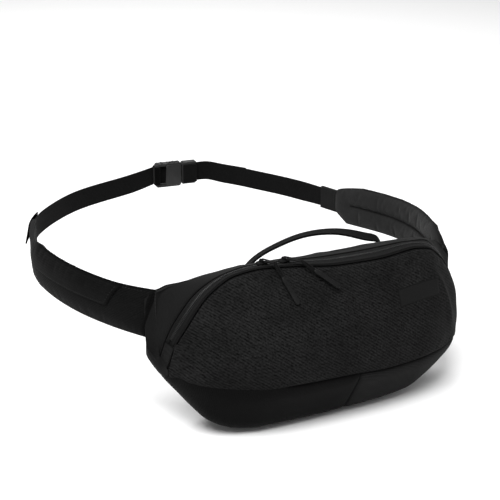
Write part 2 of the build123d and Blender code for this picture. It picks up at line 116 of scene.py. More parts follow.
class Look:
    """A procedural material being put together; each method adds nodes and returns an output."""

    def __init__(self, name, rough, gloss, sheen=0.0):
        self.material = bpy.data.materials.new(name)
        self.material.use_nodes = True
        self.tree = self.material.node_tree
        self.tree.nodes.clear()
        self.shader = self.tree.nodes.new("ShaderNodeBsdfPrincipled").inputs
        self.join(self.shader[0].node.outputs[0], self.tree.nodes.new("ShaderNodeOutputMaterial").inputs[0])
        for key, value in (("Roughness", rough), ("Specular IOR Level", gloss), ("Sheen Weight", sheen),
                           ("Sheen Roughness", 0.45)):
            self.shader[key].default_value = value

    def join(self, output, socket):
        self.tree.links.new(output, socket)

    def node(self, kind, *values, **settings):
        made = self.tree.nodes.new(kind)
        for key, value in settings.items():
            setattr(made, key, value)
        for socket, value in zip(made.inputs, values):
            if isinstance(value, bpy.types.NodeSocket):
                self.join(value, socket)
            elif value is not None:
                socket.default_value = value
        return made.outputs[0]

    def math(self, operation, a, b=0.0, c=0.0):
        return self.node("ShaderNodeMath", a, b, c, operation=operation)

    def times(self, a, b):
        return self.math("MULTIPLY", a, b)

    def wave(self, phase):
        """0 to 1 and back, once for each whole number of phase."""
        return self.math("MULTIPLY_ADD", self.math("SINE", self.times(phase, 2 * pi)), 0.5, 0.5)

    def spread(self, value, low, high, start=0.0, stop=1.0):
        return self.node("ShaderNodeMapRange", value, low, high, start, stop)

    def grain(self, x, y, x_scale, y_scale, seed, detail=2.0):
        """Noise over the cloth."""
        where = self.node("ShaderNodeCombineXYZ", self.times(x, x_scale), self.times(y, y_scale), seed)
        return self.node("ShaderNodeTexNoise", where, None, 1.0, detail, 0.55)

    def mix(self, share, dark, light):
        """Grey from dark to light."""
        made = self.tree.nodes.new("ShaderNodeMix")
        made.data_type = "RGBA"
        self.join(share, made.inputs[0])
        made.inputs[6].default_value = (dark, dark, dark, 1)
        made.inputs[7].default_value = (light, light, light, 1)
        return made.outputs[2]

    def bump(self, height, depth, strength):
        """Bumps depth mm high."""
        made = self.tree.nodes.new("ShaderNodeBump")
        made.inputs["Strength"].default_value = strength
        made.inputs["Distance"].default_value = depth * 0.001
        self.join(height, made.inputs["Height"])
        self.join(made.outputs[0], self.shader["Normal"])


def woven(name, pitch, slant, dark, light, mottle, depth, rough=0.85, gloss=0.05, sheen=0.02, speck=0.25):
    """A cloth with yarn lines pitch mm apart, slanting by slant, and heathered yarns along them.

    Its tone runs from dark to light, by mottle along the yarns, by speck in fine dots and by broad blotches
    that are partly the cloth's uneven tone and partly painted shade of large folds.
    It is darker in the seams, which is painted shade in their creases. Its yarns stand depth mm high.
    """
    look = Look(name, rough, gloss, sheen)
    place = look.tree.nodes.new("ShaderNodeUVMap")
    place.uv_map = "cloth"
    parts = look.node("ShaderNodeSeparateXYZ", place.outputs[0]).node.outputs
    u, v, a = parts[0], parts[1], radians(slant)
    along = look.math("ADD", look.times(u, cos(a)), look.times(v, sin(a)))
    across = look.math("SUBTRACT", look.times(v, cos(a)), look.times(u, sin(a)))
    drift = look.grain(u, v, 0.05, 0.05, 3.0)
    line = look.wave(look.math("MULTIPLY_ADD", across, 1.0 / pitch, look.times(drift, 0.8)))
    thread = look.wave(look.times(along, 1.0 / (pitch * 0.62)))
    yarn = look.grain(along, across, 0.16, 1.1 / pitch, 7.0)
    # Broad blotches: partly the cloth's own uneven tone, partly painted shade standing in for large folds.
    broad_tone_and_fold_shade = look.grain(u, v, 0.03, 0.03, 1.0)
    heather = look.spread(look.math("MULTIPLY_ADD", yarn, mottle, look.times(line, 1 - mottle)), 0.28, 0.70)
    fine = look.grain(u, v, 1.3 / pitch, 1.3 / pitch, 9.0, 1.0)
    mixed = look.math("MULTIPLY_ADD", look.spread(fine, 0.36, 0.64), speck, look.times(heather, 1 - speck))
    share = look.times(mixed, look.spread(broad_tone_and_fold_shade, 0.3, 0.7, 0.6, 1.02))
    # Painted shade: the colour is darkened near each seam, by the seam attribute.
    seam = look.tree.nodes.new("ShaderNodeAttribute")
    seam.attribute_name = "seam"
    tone = look.node("ShaderNodeVectorMath", look.mix(share, dark, light), None, operation="SCALE")
    look.join(look.spread(seam.outputs["Fac"], *SEAM_PAINTED_SHADE), tone.node.inputs["Scale"])
    look.join(tone, look.shader["Base Color"])
    look.bump(look.math("MULTIPLY_ADD", thread, 0.25, line), depth, 0.7)
    return look.material


def moulded(name, tone, rough, gloss, speck=900.0, depth=0.05):
    """Moulded plastic or cast metal: a fine grain, slightly worn and uneven in gloss."""
    look = Look(name, rough, gloss)
    place = look.tree.nodes.new("ShaderNodeTexCoord").outputs["Object"]
    fine, broad = (look.node("ShaderNodeTexNoise", look.node("ShaderNodeVectorMath", place, (scale,) * 3,
                                                             operation="MULTIPLY"), None, 1.0, 3.0, 0.6)
                   for scale in (speck, speck * 0.09))
    share = look.spread(look.math("MULTIPLY_ADD", fine, 0.4, look.times(broad, 0.6)), 0.35, 0.65)
    look.join(look.mix(share, tone * 0.75, tone * 1.25), look.shader["Base Color"])
    look.join(look.spread(broad, 0.3, 0.7, rough * 0.8, min(1.0, rough * 1.25)), look.shader["Roughness"])
    look.bump(fine, depth, 0.5)
    return look.material


TWILL = woven("twill", 2.3, -36, 0.0010, 0.0165, 0.70, 0.13, gloss=0.03, sheen=0.01, speck=0.45)
WING = woven("wing_fabric", 1.9, -38, 0.0006, 0.0048, 0.66, 0.18, speck=0.4)
MARK = woven("mark_fabric", 0.8, 20, 0.0052, 0.0092, 0.4, 0.06)
# A darker copy of the webbing without gloss or sheen: painted shade, for the left webbing's loose end, which
# lies in shadow.
SHADED_WEBBING = woven("stow_webbing_painted_shade", 1.25, 0, 0.0004, 0.0020, 0.3, 0.25, gloss=0.0, sheen=0.0)
GUSSET = woven("smooth_fabric", 0.9, 90, 0.0044, 0.0092, 0.6, 0.12, rough=0.8, gloss=0.08)
PIPING = woven("piping", 0.9, 40, 0.0025, 0.0060, 0.6, 0.12)
BASE = woven("base_fabric", 1.25, 88, 0.0010, 0.0027, 0.4, 0.16)
RIBBED = woven("ribbed_fabric", 1.7, -14, 0.0034, 0.0115, 0.35, 0.24)
LINING = woven("lining", 0.7, 45, 0.006, 0.010, 0.5, 0.08, rough=0.7)
MESH = woven("mesh_padding", 1.6, 60, 0.007, 0.018, 0.5, 0.35, sheen=0.04)
SOFT = woven("soft_face", 0.9, 60, 0.010, 0.020, 0.75, 0.16, sheen=0.06)
TAPE = woven("zip_tape", 0.8, 0, 0.0025, 0.0065, 0.4, 0.12)
WEBBING = woven("webbing", 1.25, 0, 0.0012, 0.0056, 0.3, 0.30)
THREAD = woven("thread", 0.5, 30, 0.010, 0.020, 0.5, 0.05)
CORD = woven("cord", 0.8, 40, 0.002, 0.007, 0.5, 0.2)
COIL = moulded("zip_coil", 0.010, 0.45, 0.2)
METAL = moulded("zip_metal", 0.006, 0.7, 0.05, 1400.0, 0.02)
GRIP = moulded("grip_plastic", 0.006, 0.5, 0.10)
BUCKLE_PLASTIC = moulded("buckle_plastic", 0.011, 0.45, 0.25)
HOOK_PLASTIC = moulded("hook_plastic", 0.012, 0.45, 0.3)


# ---- mesh tools ---------------------------------------------------------------------------------
NO_SEAM = 99.0           # the distance to a seam, for points that are near none
STITCH_SIDES, STITCH_RISE, STITCH_SUNK, STITCH_THIN = 5, 0.1, -0.25, 0.55
PUFF_FRAMES, PUFF_SCALE = 16, 12.0     # the cloth is simulated larger than life
PUFF_CLOTH = {
    "quality": 6, "mass": 0.15, "tension_stiffness": 12, "compression_stiffness": 12, "shear_stiffness": 4,
    "bending_stiffness": 0.3, "vertex_group_mass": "held", "use_pressure": True,
}
BEAD, BEAD_HIGH, HEM, EDGE_HIGH = 0.35, 1.08, 1.6, 0.3     # the thickened edges of webbing


def make(name, points, faces, materials, cloth, which=None, seam=None, smooth=35):
    """A mesh object from points in mm; cloth is (along, across) in mm for each point."""
    mesh = bpy.data.meshes.new(name)
    mesh.from_pydata((np.asarray(points, float) * 0.001).tolist(), [], [list(f) for f in faces])
    for material in materials:
        mesh.materials.append(material)
    if which is not None:
        mesh.polygons.foreach_set("material_index", np.asarray(which, np.int32))
    corner = np.zeros(len(mesh.loops), np.int32)
    mesh.loops.foreach_get("vertex_index", corner)
    layer = mesh.uv_layers.new(name="cloth")
    layer.data.foreach_set("uv", np.asarray(cloth, np.float32)[corner].ravel())
    # Each point's distance from a seam; the cloth materials darken by it, as painted shade.
    distance = np.full(len(mesh.vertices), NO_SEAM) if seam is None else seam
    mesh.attributes.new("seam", "FLOAT", "POINT").data.foreach_set("value", distance.astype(np.float32))
    mesh.polygons.foreach_set("use_smooth", np.ones(len(mesh.polygons), bool))
    mesh.validate()
    mesh.update()
    mesh.set_sharp_from_angle(angle=radians(smooth))
    made = bpy.data.objects.new(name, mesh)
    SCENE.collection.objects.link(made)
    return made


def unit(v):
    """Vectors made one long, in a row, in a grid or alone."""
    return v / np.maximum(np.linalg.norm(v, axis=-1, keepdims=True), 1e-9)


def hump(distance, width):
    """A smooth bump, 1 at no distance."""
    return np.exp(-(distance / width) ** 2)


def normals(grid, side):
    """Unit normals of a grid of points, turned over where side is -1."""
    return unit(np.cross(np.gradient(grid, axis=0), np.gradient(grid, axis=1)) * side)


def lengths(points, axis=0):
    """Running length along one direction of a grid, or along a line of points."""
    steps = np.linalg.norm(np.diff(points, axis=axis), axis=-1)
    first = np.zeros_like(np.take(steps, [0], axis=axis))
    return np.concatenate([first, np.cumsum(steps, axis=axis)], axis=axis)


def sample(line, run, at):
    """The points of a line at the lengths at, where run is its running length."""
    return np.stack([np.interp(at, run, column) for column in np.asarray(line, float).T], axis=-1)


def pick(grid, i, j):
    """The point of a grid at fractional row i and column j."""
    i = np.clip(i, 0, grid.shape[0] - 1.001)
    j = np.clip(j, 0, grid.shape[1] - 1.001)
    p, q = int(i), int(j)
    s, t = i - p, j - q
    return ((grid[p, q] * (1 - s) + grid[p + 1, q] * s) * (1 - t)
            + (grid[p, q + 1] * (1 - s) + grid[p + 1, q + 1] * s) * t)


def fold(x, y, seed, scale):
    """A smooth, repeatable value from -1 to 1."""
    return noise.noise(Vector((x / scale, y / scale, seed * 7.31)))


def grid_faces(rows, columns, first, turned):
    i, j = np.meshgrid(np.arange(rows - 1), np.arange(columns - 1), indexing="ij")
    a = (first + i * columns + j).ravel()
    quads = np.stack([a, a + columns, a + columns + 1, a + 1], axis=1)
    return quads[:, ::-1] if turned else quads


def ring_faces(count, sides, closed=False, shift=0):
    """Faces round a row of rings, and over its two ends unless it is closed."""
    i, j = np.meshgrid(np.arange(count if closed else count - 1), np.arange(sides), indexing="ij")
    after, turn = (i + 1) % count, (j + 1) % sides
    quads = np.stack([i * sides + j, after * sides + j, after * sides + turn, i * sides + turn], axis=2)
    quads = np.roll(quads.reshape(-1, 4), -shift, axis=1).tolist()
    ends = [list(range(sides)), list(range((count - 1) * sides, count * sides))[::-1]]
    return quads if closed else quads + ends


def shell(name, outer, inner, materials, along, across, seam, turned=False):
    """A closed piece of cloth between two grids of points, with the lining as its last material."""
    rows, columns = outer.shape[:2]
    count = rows * columns
    index = np.arange(count).reshape(rows, columns)
    rim = np.concatenate([index[:, 0], index[-1, 1:], index[-2::-1, -1], index[0, -2:0:-1]])
    following = np.roll(rim, -1)
    sides = np.stack([rim, following, following + count, rim + count], axis=1)
    top, bottom = grid_faces(rows, columns, 0, turned), grid_faces(rows, columns, count, not turned)
    faces = np.concatenate([top, bottom, sides if turned else sides[:, ::-1]])
    which = np.repeat((0, len(materials) - 1, 0), (len(top), len(bottom), len(sides)))
    cloth = np.stack([np.tile(along.ravel(), 2), np.tile(across.ravel(), 2)], axis=1)
    edge = np.concatenate([seam.ravel(), np.full(count, NO_SEAM)])
    return make(name, np.concatenate([outer.reshape(-1, 3), inner.reshape(-1, 3)]), faces, materials,
                cloth, which, edge)


def tube(name, path, radius, materials, sides=8, up=(0, 0, 1), closed=False):
    """A round tube along a line of points, its ends closed and rounded."""
    path = np.asarray(path, float)
    tangent = unit(np.roll(path, -1, 0) - np.roll(path, 1, 0) if closed else np.gradient(path, axis=0))
    side = unit(np.cross(tangent, np.asarray(up, float)))
    rise = np.cross(side, tangent)
    angles = np.arange(sides) * 2 * pi / sides
    radii, centres = np.full(len(path), float(radius)), path
    if not closed:
        centres = np.concatenate([[path[0] - tangent[0] * radius * 0.6], path,
                                  [path[-1] + tangent[-1] * radius * 0.6]])
        radii = np.concatenate([[radius * 0.5], radii, [radius * 0.5]])
        side, rise = (np.concatenate([v[:1], v, v[-1:]]) for v in (side, rise))
    ring = (centres[:, None] + side[:, None] * (np.cos(angles) * radii[:, None])[..., None]
            + rise[:, None] * (np.sin(angles) * radii[:, None])[..., None])
    cloth = np.stack([np.repeat(lengths(centres), sides), np.tile(angles * radius, len(centres))], axis=1)
    return make(name, ring.reshape(-1, 3), ring_faces(len(centres), sides, closed, 1), materials, cloth,
                smooth=60)


def loft(name, rings, materials, cloth=None, smooth=50):
    """A closed form through rings of points, each with as many points, its two ends filled."""
    rings = np.asarray(rings, float)
    count, sides = rings.shape[:2]
    faces = ring_faces(count, sides)
    middle = rings.reshape(-1, 3).mean(0)
    a, b, c = (rings[0][k] - middle for k in (0, sides // 3, 2 * sides // 3))
    if np.dot(np.cross(b - a, c - a), a + b + c) < 0:
        faces = [f[::-1] for f in faces]
    if cloth is None:
        around = lengths(np.concatenate([rings[0], rings[0][:1]]))[:-1]
        cloth = np.stack([np.repeat(lengths(rings.mean(1)), sides), np.tile(around, count)], axis=1)
    return make(name, rings.reshape(-1, 3), faces, materials, cloth, smooth=smooth)


def band(name, middle, across, outward, width, thick, material, taper=1.0):
    """A strap of webbing: its middle line, the direction across it and away from its face."""
    half = width / 2
    upper = [(-half, EDGE_HIGH), (-half + BEAD, BEAD_HIGH), (-half + HEM, 1)]
    upper += [(q * half, 1) for q in (-0.55, -0.2, 0.2, 0.55)]
    upper += [(half - HEM, 1), (half - BEAD, BEAD_HIGH), (half, EDGE_HIGH)]
    lower = [(x, -high) for x, high in upper[::-1]]
    profile = np.array([lower[-1]] + upper + lower[:-1]) * (1, thick / 2)
    count = len(middle)
    across, outward = (np.broadcast_to(v, (count, 3)) for v in (across, outward))
    size = np.broadcast_to(taper, (count,))
    rings = (middle[:, None] + across[:, None] * (profile[:, 0] * size[:, None])[..., None]
             + outward[:, None] * np.tile(profile[:, 1], (count, 1))[..., None])
    cloth = np.stack([np.repeat(lengths(middle), len(profile)), np.tile(profile[:, 0], count)], axis=1)
    return loft(name, rings, [material], cloth=cloth, smooth=40)


def puff(grid, held, pressure, cap, grow, side):
    """Cloth simulation: the grid swells like filled fabric, held where held is 1, by at most cap mm."""
    rows, columns = grid.shape[:2]
    mesh = bpy.data.meshes.new("puff")
    mesh.from_pydata((grid.reshape(-1, 3) * 0.001 * PUFF_SCALE).tolist(), [],
                     grid_faces(rows, columns, 0, side < 0).tolist())
    mesh.update()
    body = bpy.data.objects.new("puff", mesh)
    SCENE.collection.objects.link(body)
    pins = body.vertex_groups.new(name="held")
    for k, weight in enumerate(held.ravel()):
        if weight > 0:
            pins.add([k], float(weight), "REPLACE")
    cloth = body.modifiers.new("cloth", "CLOTH")
    for key, value in PUFF_CLOTH.items():
        setattr(cloth.settings, key, value)
    cloth.settings.uniform_pressure_force = pressure
    cloth.settings.shrink_min = -grow
    cloth.settings.effector_weights.gravity = 0
    cloth.collision_settings.use_collision = False
    cloth.point_cache.frame_start, cloth.point_cache.frame_end = 1, PUFF_FRAMES
    for step in range(1, PUFF_FRAMES + 1):
        SCENE.frame_set(step)
    settled = body.evaluated_get(bpy.context.evaluated_depsgraph_get())
    result = np.array([v.co for v in settled.data.vertices], float).reshape(rows, columns, 3)
    bpy.data.objects.remove(body)
    SCENE.frame_set(1)
    move = result / (0.001 * PUFF_SCALE) - grid
    far = np.linalg.norm(move, axis=2, keepdims=True)
    return grid + move * (np.tanh(far / cap) * cap / np.maximum(far, 1e-9))


# ---- what each piece moves with -----------------------------------------------------------------
BLENDS = {     # name: (body, body, start, end), for cloth that lies between two bodies; carry bakes such a piece in place and attaches it to neither
    "flap": ("root", "front_flap", (0, -0.254, -0.059), (0, -0.283, -0.001)),
}


def carry(piece, body):
    if body in BLENDS:
        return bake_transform(piece)
    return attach(piece, body)


def dress(piece, body, slot, *nodes, fill=None):
    """Hides the nodes a piece stands for and sets what it moves with. Slot, the finish it takes, and fill,
    its filling, are not used.
    """
    if nodes:
        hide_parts(*nodes)
    return carry(piece, body)


def stitches(name, lines, body, pitch=2.8, length=2.1, radius=0.27):
    """Rows of sewn stitches. Each line is (points, normals); every stitch is a short raised thread."""
    points, faces = [], []
    for path, outward in lines:
        run = lengths(np.asarray(path, float))
        outward = np.broadcast_to(outward, (len(run), 3))
        for begin in np.arange(0.4, run[-1] - length, pitch):
            at = sample(path, run, begin + length * np.array((0.0, 0.5, 1.0)))
            out = unit(sample(outward, run, begin + length / 2))
            side = np.cross(unit(at[2] - at[0]), out)
            first = len(points)
            for centre, rise, size in zip(at, (STITCH_SUNK, STITCH_RISE + radius * 0.4, STITCH_SUNK),
                                          (STITCH_THIN, 1.0, STITCH_THIN)):
                for k in range(STITCH_SIDES):
                    angle = 2 * pi * k / STITCH_SIDES
                    points.append(centre + out * (rise + radius * size * cos(angle))
                                  + side * radius * size * sin(angle))
            for a in (first, first + STITCH_SIDES):
                for k in range(STITCH_SIDES):
                    b = (k + 1) % STITCH_SIDES
                    faces.append([a + k, a + b, a + STITCH_SIDES + b, a + STITCH_SIDES + k])
            faces.append([first + k for k in range(STITCH_SIDES - 1, -1, -1)])
            faces.append([first + 2 * STITCH_SIDES + k for k in range(STITCH_SIDES)])
    return carry(make(name, points, faces, [THREAD], np.zeros((len(points), 2)), smooth=70), body)


# ---- the pack's section -------------------------------------------------------------------------
BACK_Y, BASE_Z = -170.0, -111.0
PANEL_END_X, ZIP_END_X, BASE_SEAM_X, FABRIC = 147.0, 137.0, 8.0, 1.8
GROOVE_WIDTH, SWELL_WIDTH = 1.5, 7.0   # how far from a seam the cloth is drawn down, and swells
SECTIONS = {
    -156: ((0, 128), (1, 82), (4, 79), (6, 77), (6, 75), (4, 73), (0, 73)),
    -147: ((0, 133), (4, 71), (19, 67), (23, 64), (23, 60), (16, 57), (0, 59)),
    -141: ((0, 135), (8, 89), (26, 90), (35, 80), (33, 62), (23, 50), (0, 51)),
    -135: ((0, 137), (12, 104), (33, 106), (43, 86), (42, 59), (29, 43), (0, 43)),
    -115: ((0, 138), (18, 131), (41, 138), (60, 93), (59, 57), (44, 19), (0, 20)),
    -95: ((0, 138), (26, 145), (48, 153), (71, 95), (71, 56), (51, 11), (0, 10)),
    -74: ((0, 139), (30, 150), (51, 156), (79, 95), (79, 55), (55, 9), (0, 7)),
    -40: ((0, 139), (31, 149), (53, 153), (83, 94), (83, 54), (56, 9), (0, 6)),
    0: ((0, 137), (33, 147), (56, 148), (84, 92), (84, 53), (56, 8), (0, 6)),
    40: ((0, 137), (33, 146), (57, 147), (84, 92), (82, 50), (56, 9), (0, 7)),
    74: ((0, 137), (32, 146), (55, 149), (79, 93), (78, 50), (55, 11.5), (0, 9)),
    95: ((0, 136), (27, 143), (50, 145), (71, 93), (71, 49), (51, 18), (0, 13)),
    115: ((0, 135), (19, 138), (42, 131), (60, 91), (60, 47), (44, 25), (0, 23)),
    135: ((0, 132), (13, 119), (33, 106), (43, 85), (44, 45), (34, 34), (0, 35)),
    147: ((0, 126), (7, 98), (20, 86), (26, 74), (27, 50), (20, 43), (0, 45)),
    156: ((0, 112), (2, 90), (5, 84), (8, 77), (8, 66), (6, 60), (0, 59)),
}
BENDS = {0: (5, 5), 1: (3, 3), 2: (3, 6), 3: (30, 18), 4: (14, 12), 5: (11, 11), 6: (9, 9)}


def corners(x):
    """The section's corners at x, from a smooth curve that keeps straight runs straight."""
    keys = sorted(SECTIONS)
    x = min(max(x, keys[0]), keys[-1])
    i = max(k for k in range(len(keys) - 1) if keys[k] <= x)
    spots = (keys[max(i - 1, 0)], keys[i], keys[i + 1], keys[min(i + 2, len(keys) - 1)])
    rows = [np.array(SECTIONS[k], float) for k in spots]
    middle = (rows[2] - rows[1]) / (spots[2] - spots[1])
    steps = [(b - a) / (q - p) if q != p else middle for a, b, p, q in
             zip(rows, rows[1:], spots, spots[1:])]
    ends = []
    for a, b in zip(steps, steps[1:]):
        total = np.where(np.abs(a + b) < 1e-9, 1.0, a + b)
        ends.append(np.where(a * b > 0, 2 * a * b / total, 0.0))
    span = spots[2] - spots[1]
    t = (x - spots[1]) / span
    return ((1 + 2 * t) * (1 - t) ** 2 * rows[1] + t * (1 - t) ** 2 * span * ends[0]
            + t * t * (3 - 2 * t) * rows[2] - t * t * (1 - t) * span * ends[1])


def section_point(c, place):
    """A point (out, up) at a real-valued place round the section, whose corners are bent over."""
    k = int(np.floor(place)) % 7
    u = place - np.floor(place)
    a, b = c[k], c[(k + 1) % 7]
    length = max(np.linalg.norm(b - a), 1e-6)
    for corner, far, near_side in ((k, u * length, 1), ((k + 1) % 7, (1 - u) * length, 0)):
        reach = min(BENDS[corner][near_side], 0.48 * length)
        if far >= reach:
            continue
        other = c[(corner + (-1 if near_side else 1)) % 7]
        away = max(np.linalg.norm(other - c[corner]), 1e-6)
        back = min(BENDS[corner][1 - near_side], 0.48 * away)
        first = c[corner] + (other - c[corner]) / away * back
        last = c[corner] + ((b if near_side else a) - c[corner]) / length * reach
        s = 0.5 + 0.5 * far / reach
        return (1 - s) ** 2 * first + 2 * s * (1 - s) * c[corner] + s * s * last
    return a + (b - a) * u


def in_frame(x, out, up):
    return np.array((x, BACK_Y - out, BASE_Z + up))


def panel_grid(start, stop, low, high, step=2.2):
    """Points of the pack's wall between two places round the section, from low to high along X."""
    count = int(abs(high - low) / step) + 2
    middle = corners((low + high) / 2 if low * high > 0 else 0.0)
    fine = np.linspace(start, stop, 60)
    run = lengths(np.array([section_point(middle, p) for p in fine]))
    columns = max(int(run[-1] / step) + 2, 4)
    places = np.interp(np.linspace(0, run[-1], columns), run, fine)
    places[0], places[-1] = start, stop - 1e-6
    grid = []
    for x in np.linspace(low, high, count):
        c = corners(x)
        grid.append([in_frame(x, *section_point(c, p)) for p in places])
    return np.array(grid)


def border(grid, ends=True):
    """Each point's distance from the panel's nearest edge."""
    across, along = lengths(grid, 1), lengths(grid, 0)
    near = np.minimum(across, across[:, -1:] - across)
    if ends:
        near = np.minimum(near, np.minimum(along, along[-1:] - along))
    return near


def swung(x, y, slope):
    """Lengths along and across a direction that slopes by slope degrees."""
    a = radians(slope)
    return x * cos(a) + y * sin(a), y * cos(a) - x * sin(a)


def wrinkle(grid, seed, long, wide, lean=0.0):
    """Shallow creases: long and wide are their sizes in mm, lean their slope."""
    one, two = swung(grid[:, :, 0], lengths(grid, 1), lean)
    values = [fold(x / long * 10, y / wide * 10, seed, 10.0) for x, y in zip(one.ravel(), two.ravel())]
    return np.array(values).reshape(one.shape)


def panel(name, grid, materials, body, node, slot, groove, swell=0.0, ends=True, across=None, fade=0.0):
    """A sewn panel of the pack: its face, its lining and its turned edges.

    The face swells by swell mm, and its edges are drawn down into the seams by groove mm.
    """
    near = border(grid, ends) + fade
    rise = -groove * hump(near, GROOVE_WIDTH) + swell * (1 - hump(near, SWELL_WIDTH))
    outer = grid + normals(grid, -1) * rise[..., None]
    made = shell(name, outer, outer - normals(outer, -1) * FABRIC, materials, grid[:, :, 0],
                 -lengths(grid, 1) if across is None else across, near, turned=True)
    dress(made, body, slot, node)
    return outer


def flush(grid, upper):
    """Where the lower seam lies flush and hardly shows: the left end, near the panel's shared edge. There the
    groove and the seam's painted shade fade out.
    """
    across = lengths(grid, 1)
    share = across / across[:, -1:]
    toward = np.clip(1 - (share if upper else 1 - share) / 0.35, 0, 1)
    return 2.6 * np.clip((-52 - grid[:, :, 0]) / 24, 0, 1) * toward


# Front panel: a twill face that bellies out over what the pack holds.
PINCHES = (      # height, x, width, distance below the zip's seam, its width, the folds in it
    (1.6, 6, 34, 26, 16, (8, 16, 11, 60)), (2.6, 62, 30, 9, 13, (9, 34, 9, -22)),
)
CREASES = (      # x, distance below the zip's seam, slope, length, width, height
    (62, 12, -35, 26, 4.0, 2.2), (76, 20, -50, 22, 4.0, 1.9), (40, 14, -20, 24, 4.0, 1.7),
    (-2, 34, 70, 22, 5.0, 1.9), (8, 42, 50, 18, 4.0, -1.7), (98, 28, 62, 30, 5.0, 1.9),
    (-62, 38, 32, 42, 7.0, 1.6), (30, 62, -15, 46, 7.0, -1.5), (-20, 16, -65, 20, 4.5, 1.5),
    (112, 52, 75, 26, 5.0, 1.5), (-96, 54, 55, 30, 6.0, 1.3),
)
front = panel_grid(2, 4, -PANEL_END_X, PANEL_END_X, 2.0)
front_x, front_down = front[:, :, 0], lengths(front, 1)
front_full = puff(front, (border(front) < 0.1).astype(float), 1.6, 3.2, grow=0.016, side=-1)
belly = 2.4 * wrinkle(front, 3, 60, 34, 35) + 1.0 * wrinkle(front, 4, 26, 13, -30)
for high, x, wide, below, deep, folds in PINCHES:
    belly += high * (hump(front_x - x, wide) * hump(front_down - below, deep)) * wrinkle(front, *folds)
for x, below, slope, long, wide, high in CREASES:
    one, two = swung(front_x - x, front_down - below, slope)
    two = two + 2.0 * np.sin((front_x - x) / 9)
    belly += high * np.exp(-(one / long * 1.6) ** 2 - (two / wide) ** 2)
bulge = np.argmin(front[front.shape[0] // 2, :, 1])
front_face = panel("front_panel_cloth", front_full, [TWILL, LINING], "flap", "front_panel", "twill",
                   swell=belly, groove=1.5, fade=flush(front, False),
                   across=front[:, bulge:bulge + 1, 2] + front_down[:, bulge:bulge + 1] - front_down)

# Base: smooth on the left, ribbed on the right, joined by a slanting seam.
for side, low, high, cloth, slot in (("left", -PANEL_END_X, BASE_SEAM_X, BASE, "smooth_fabric"),
                                     ("right", BASE_SEAM_X, PANEL_END_X, RIBBED, "ribbed_fabric")):
    base = panel_grid(4, 6, low, high)
    panel(f"base_{side}", base, [cloth, LINING], "root", f"bottom_panel_{side}", slot,
          swell=0.6 * wrinkle(base, 12, 50, 26) + 0.5, groove=1.3, fade=flush(base, True))

# Back and gussets.
back = panel_grid(6, 7, -PANEL_END_X, PANEL_END_X, 3.0)
panel("back_cloth", back, [MESH, LINING], "root", "back_panel", "mesh_padding",
      swell=0.4 * wrinkle(back, 15, 50, 40), groove=1.0)
for side, low, high, step in (("left", -PANEL_END_X, -95, 2.0), ("top", -95, 95, 1.7),
                              ("right", 95, PANEL_END_X, 2.0)):
    gusset = panel_grid(0, 1, low, high, step)
    creases = 0.35 * wrinkle(gusset, 21, 30, 18, 30)
    if side == "top":
        behind = np.clip((gusset[:, :, 0] + 40) / 60, 0, 1)
        creases = creases + 1.7 * behind * wrinkle(gusset, 22, 20, 7, 18)
        creases = creases + 0.6 * wrinkle(gusset, 23, 13, 9, -35)
    panel(f"gusset_{side}_cloth", gusset, [GUSSET, LINING], "root", f"gusset_{side}", "smooth_fabric",
          swell=creases + 0.6, groove=1.2, ends=False)

# ---- the zip ------------------------------------------------------------------------------------
ZIP_REAR, ZIP_FRONT, REAR_COIL, FRONT_COIL = 1.44, 1.60, 1.487, 1.553
TAPE_LAP = 0.05          # the two tapes meet under the coil
ZIP_LOW_X, ZIP_HIGH_X = -141.5, ZIP_END_X     # the zip runs a little further down at the left
COIL_PITCH, COIL_WIDE, COIL_HIGH, COIL_LIFT, COIL_WIRE, COIL_POINTS = 1.45, 1.25, 0.62, 0.15, 0.34, 8


def zip_line(place, low, high, step=1.0, rise=0.0):
    """Points and outward normals along the zip's band, at one place across it."""
    xs = np.arange(low, high + step / 2, step)
    line, beside = (np.array([in_frame(x, *section_point(corners(x), p)) for x in xs])
                    for p in (place, place + 0.05))
    out = unit(np.cross(np.gradient(line, axis=0), beside - line) * -1)
    return line + out * rise, out


def coil(name, place, body, node):
    """One half of the zip's coil: a wire wound along the tape's edge."""
    line, out = zip_line(place, ZIP_LOW_X + 1.5, ZIP_HIGH_X - 1.5)
    run = lengths(line)
    turns = np.arange(0, run[-1] / COIL_PITCH, 1.0 / COIL_POINTS)
    centre, rise = (sample(v, run, turns * COIL_PITCH) for v in (line, out))
    side = np.cross(unit(np.gradient(centre, axis=0)), rise)
    wire = (centre + side * (COIL_WIDE * np.cos(turns * 2 * pi))[:, None]
            + rise * (COIL_LIFT + COIL_HIGH * np.sin(turns * 2 * pi))[:, None])
    dress(tube(name, wire, COIL_WIRE, [COIL], sides=5, up=(0.3, 0.5, 0.8)), body, "zip_coil", node)


for part, start, stop, body in (("rear", 1, ZIP_REAR + TAPE_LAP, "root"),
                                ("front", ZIP_FRONT - TAPE_LAP, 2, "flap")):
    tape = panel_grid(start, stop, ZIP_LOW_X, ZIP_HIGH_X, 1.3)
    across = lengths(tape, 1)
    share = across / across[:, -1:]
    toward = share if part == "rear" else 1 - share
    rise = 0.22 * hump(toward - 0.80, 0.13) - 1.2 * hump(toward * across[:, -1:], 1.3)
    panel(f"zip_tape_{part}_cloth", tape + normals(tape, -1) * rise[..., None], [TAPE, LINING], body,
          f"zip_tape_{part}", "zip_tape", groove=0.0)
coil("coil_rear", REAR_COIL, "root", "zip_coil_rear")
coil("coil_front", FRONT_COIL, "flap", "zip_coil_front")

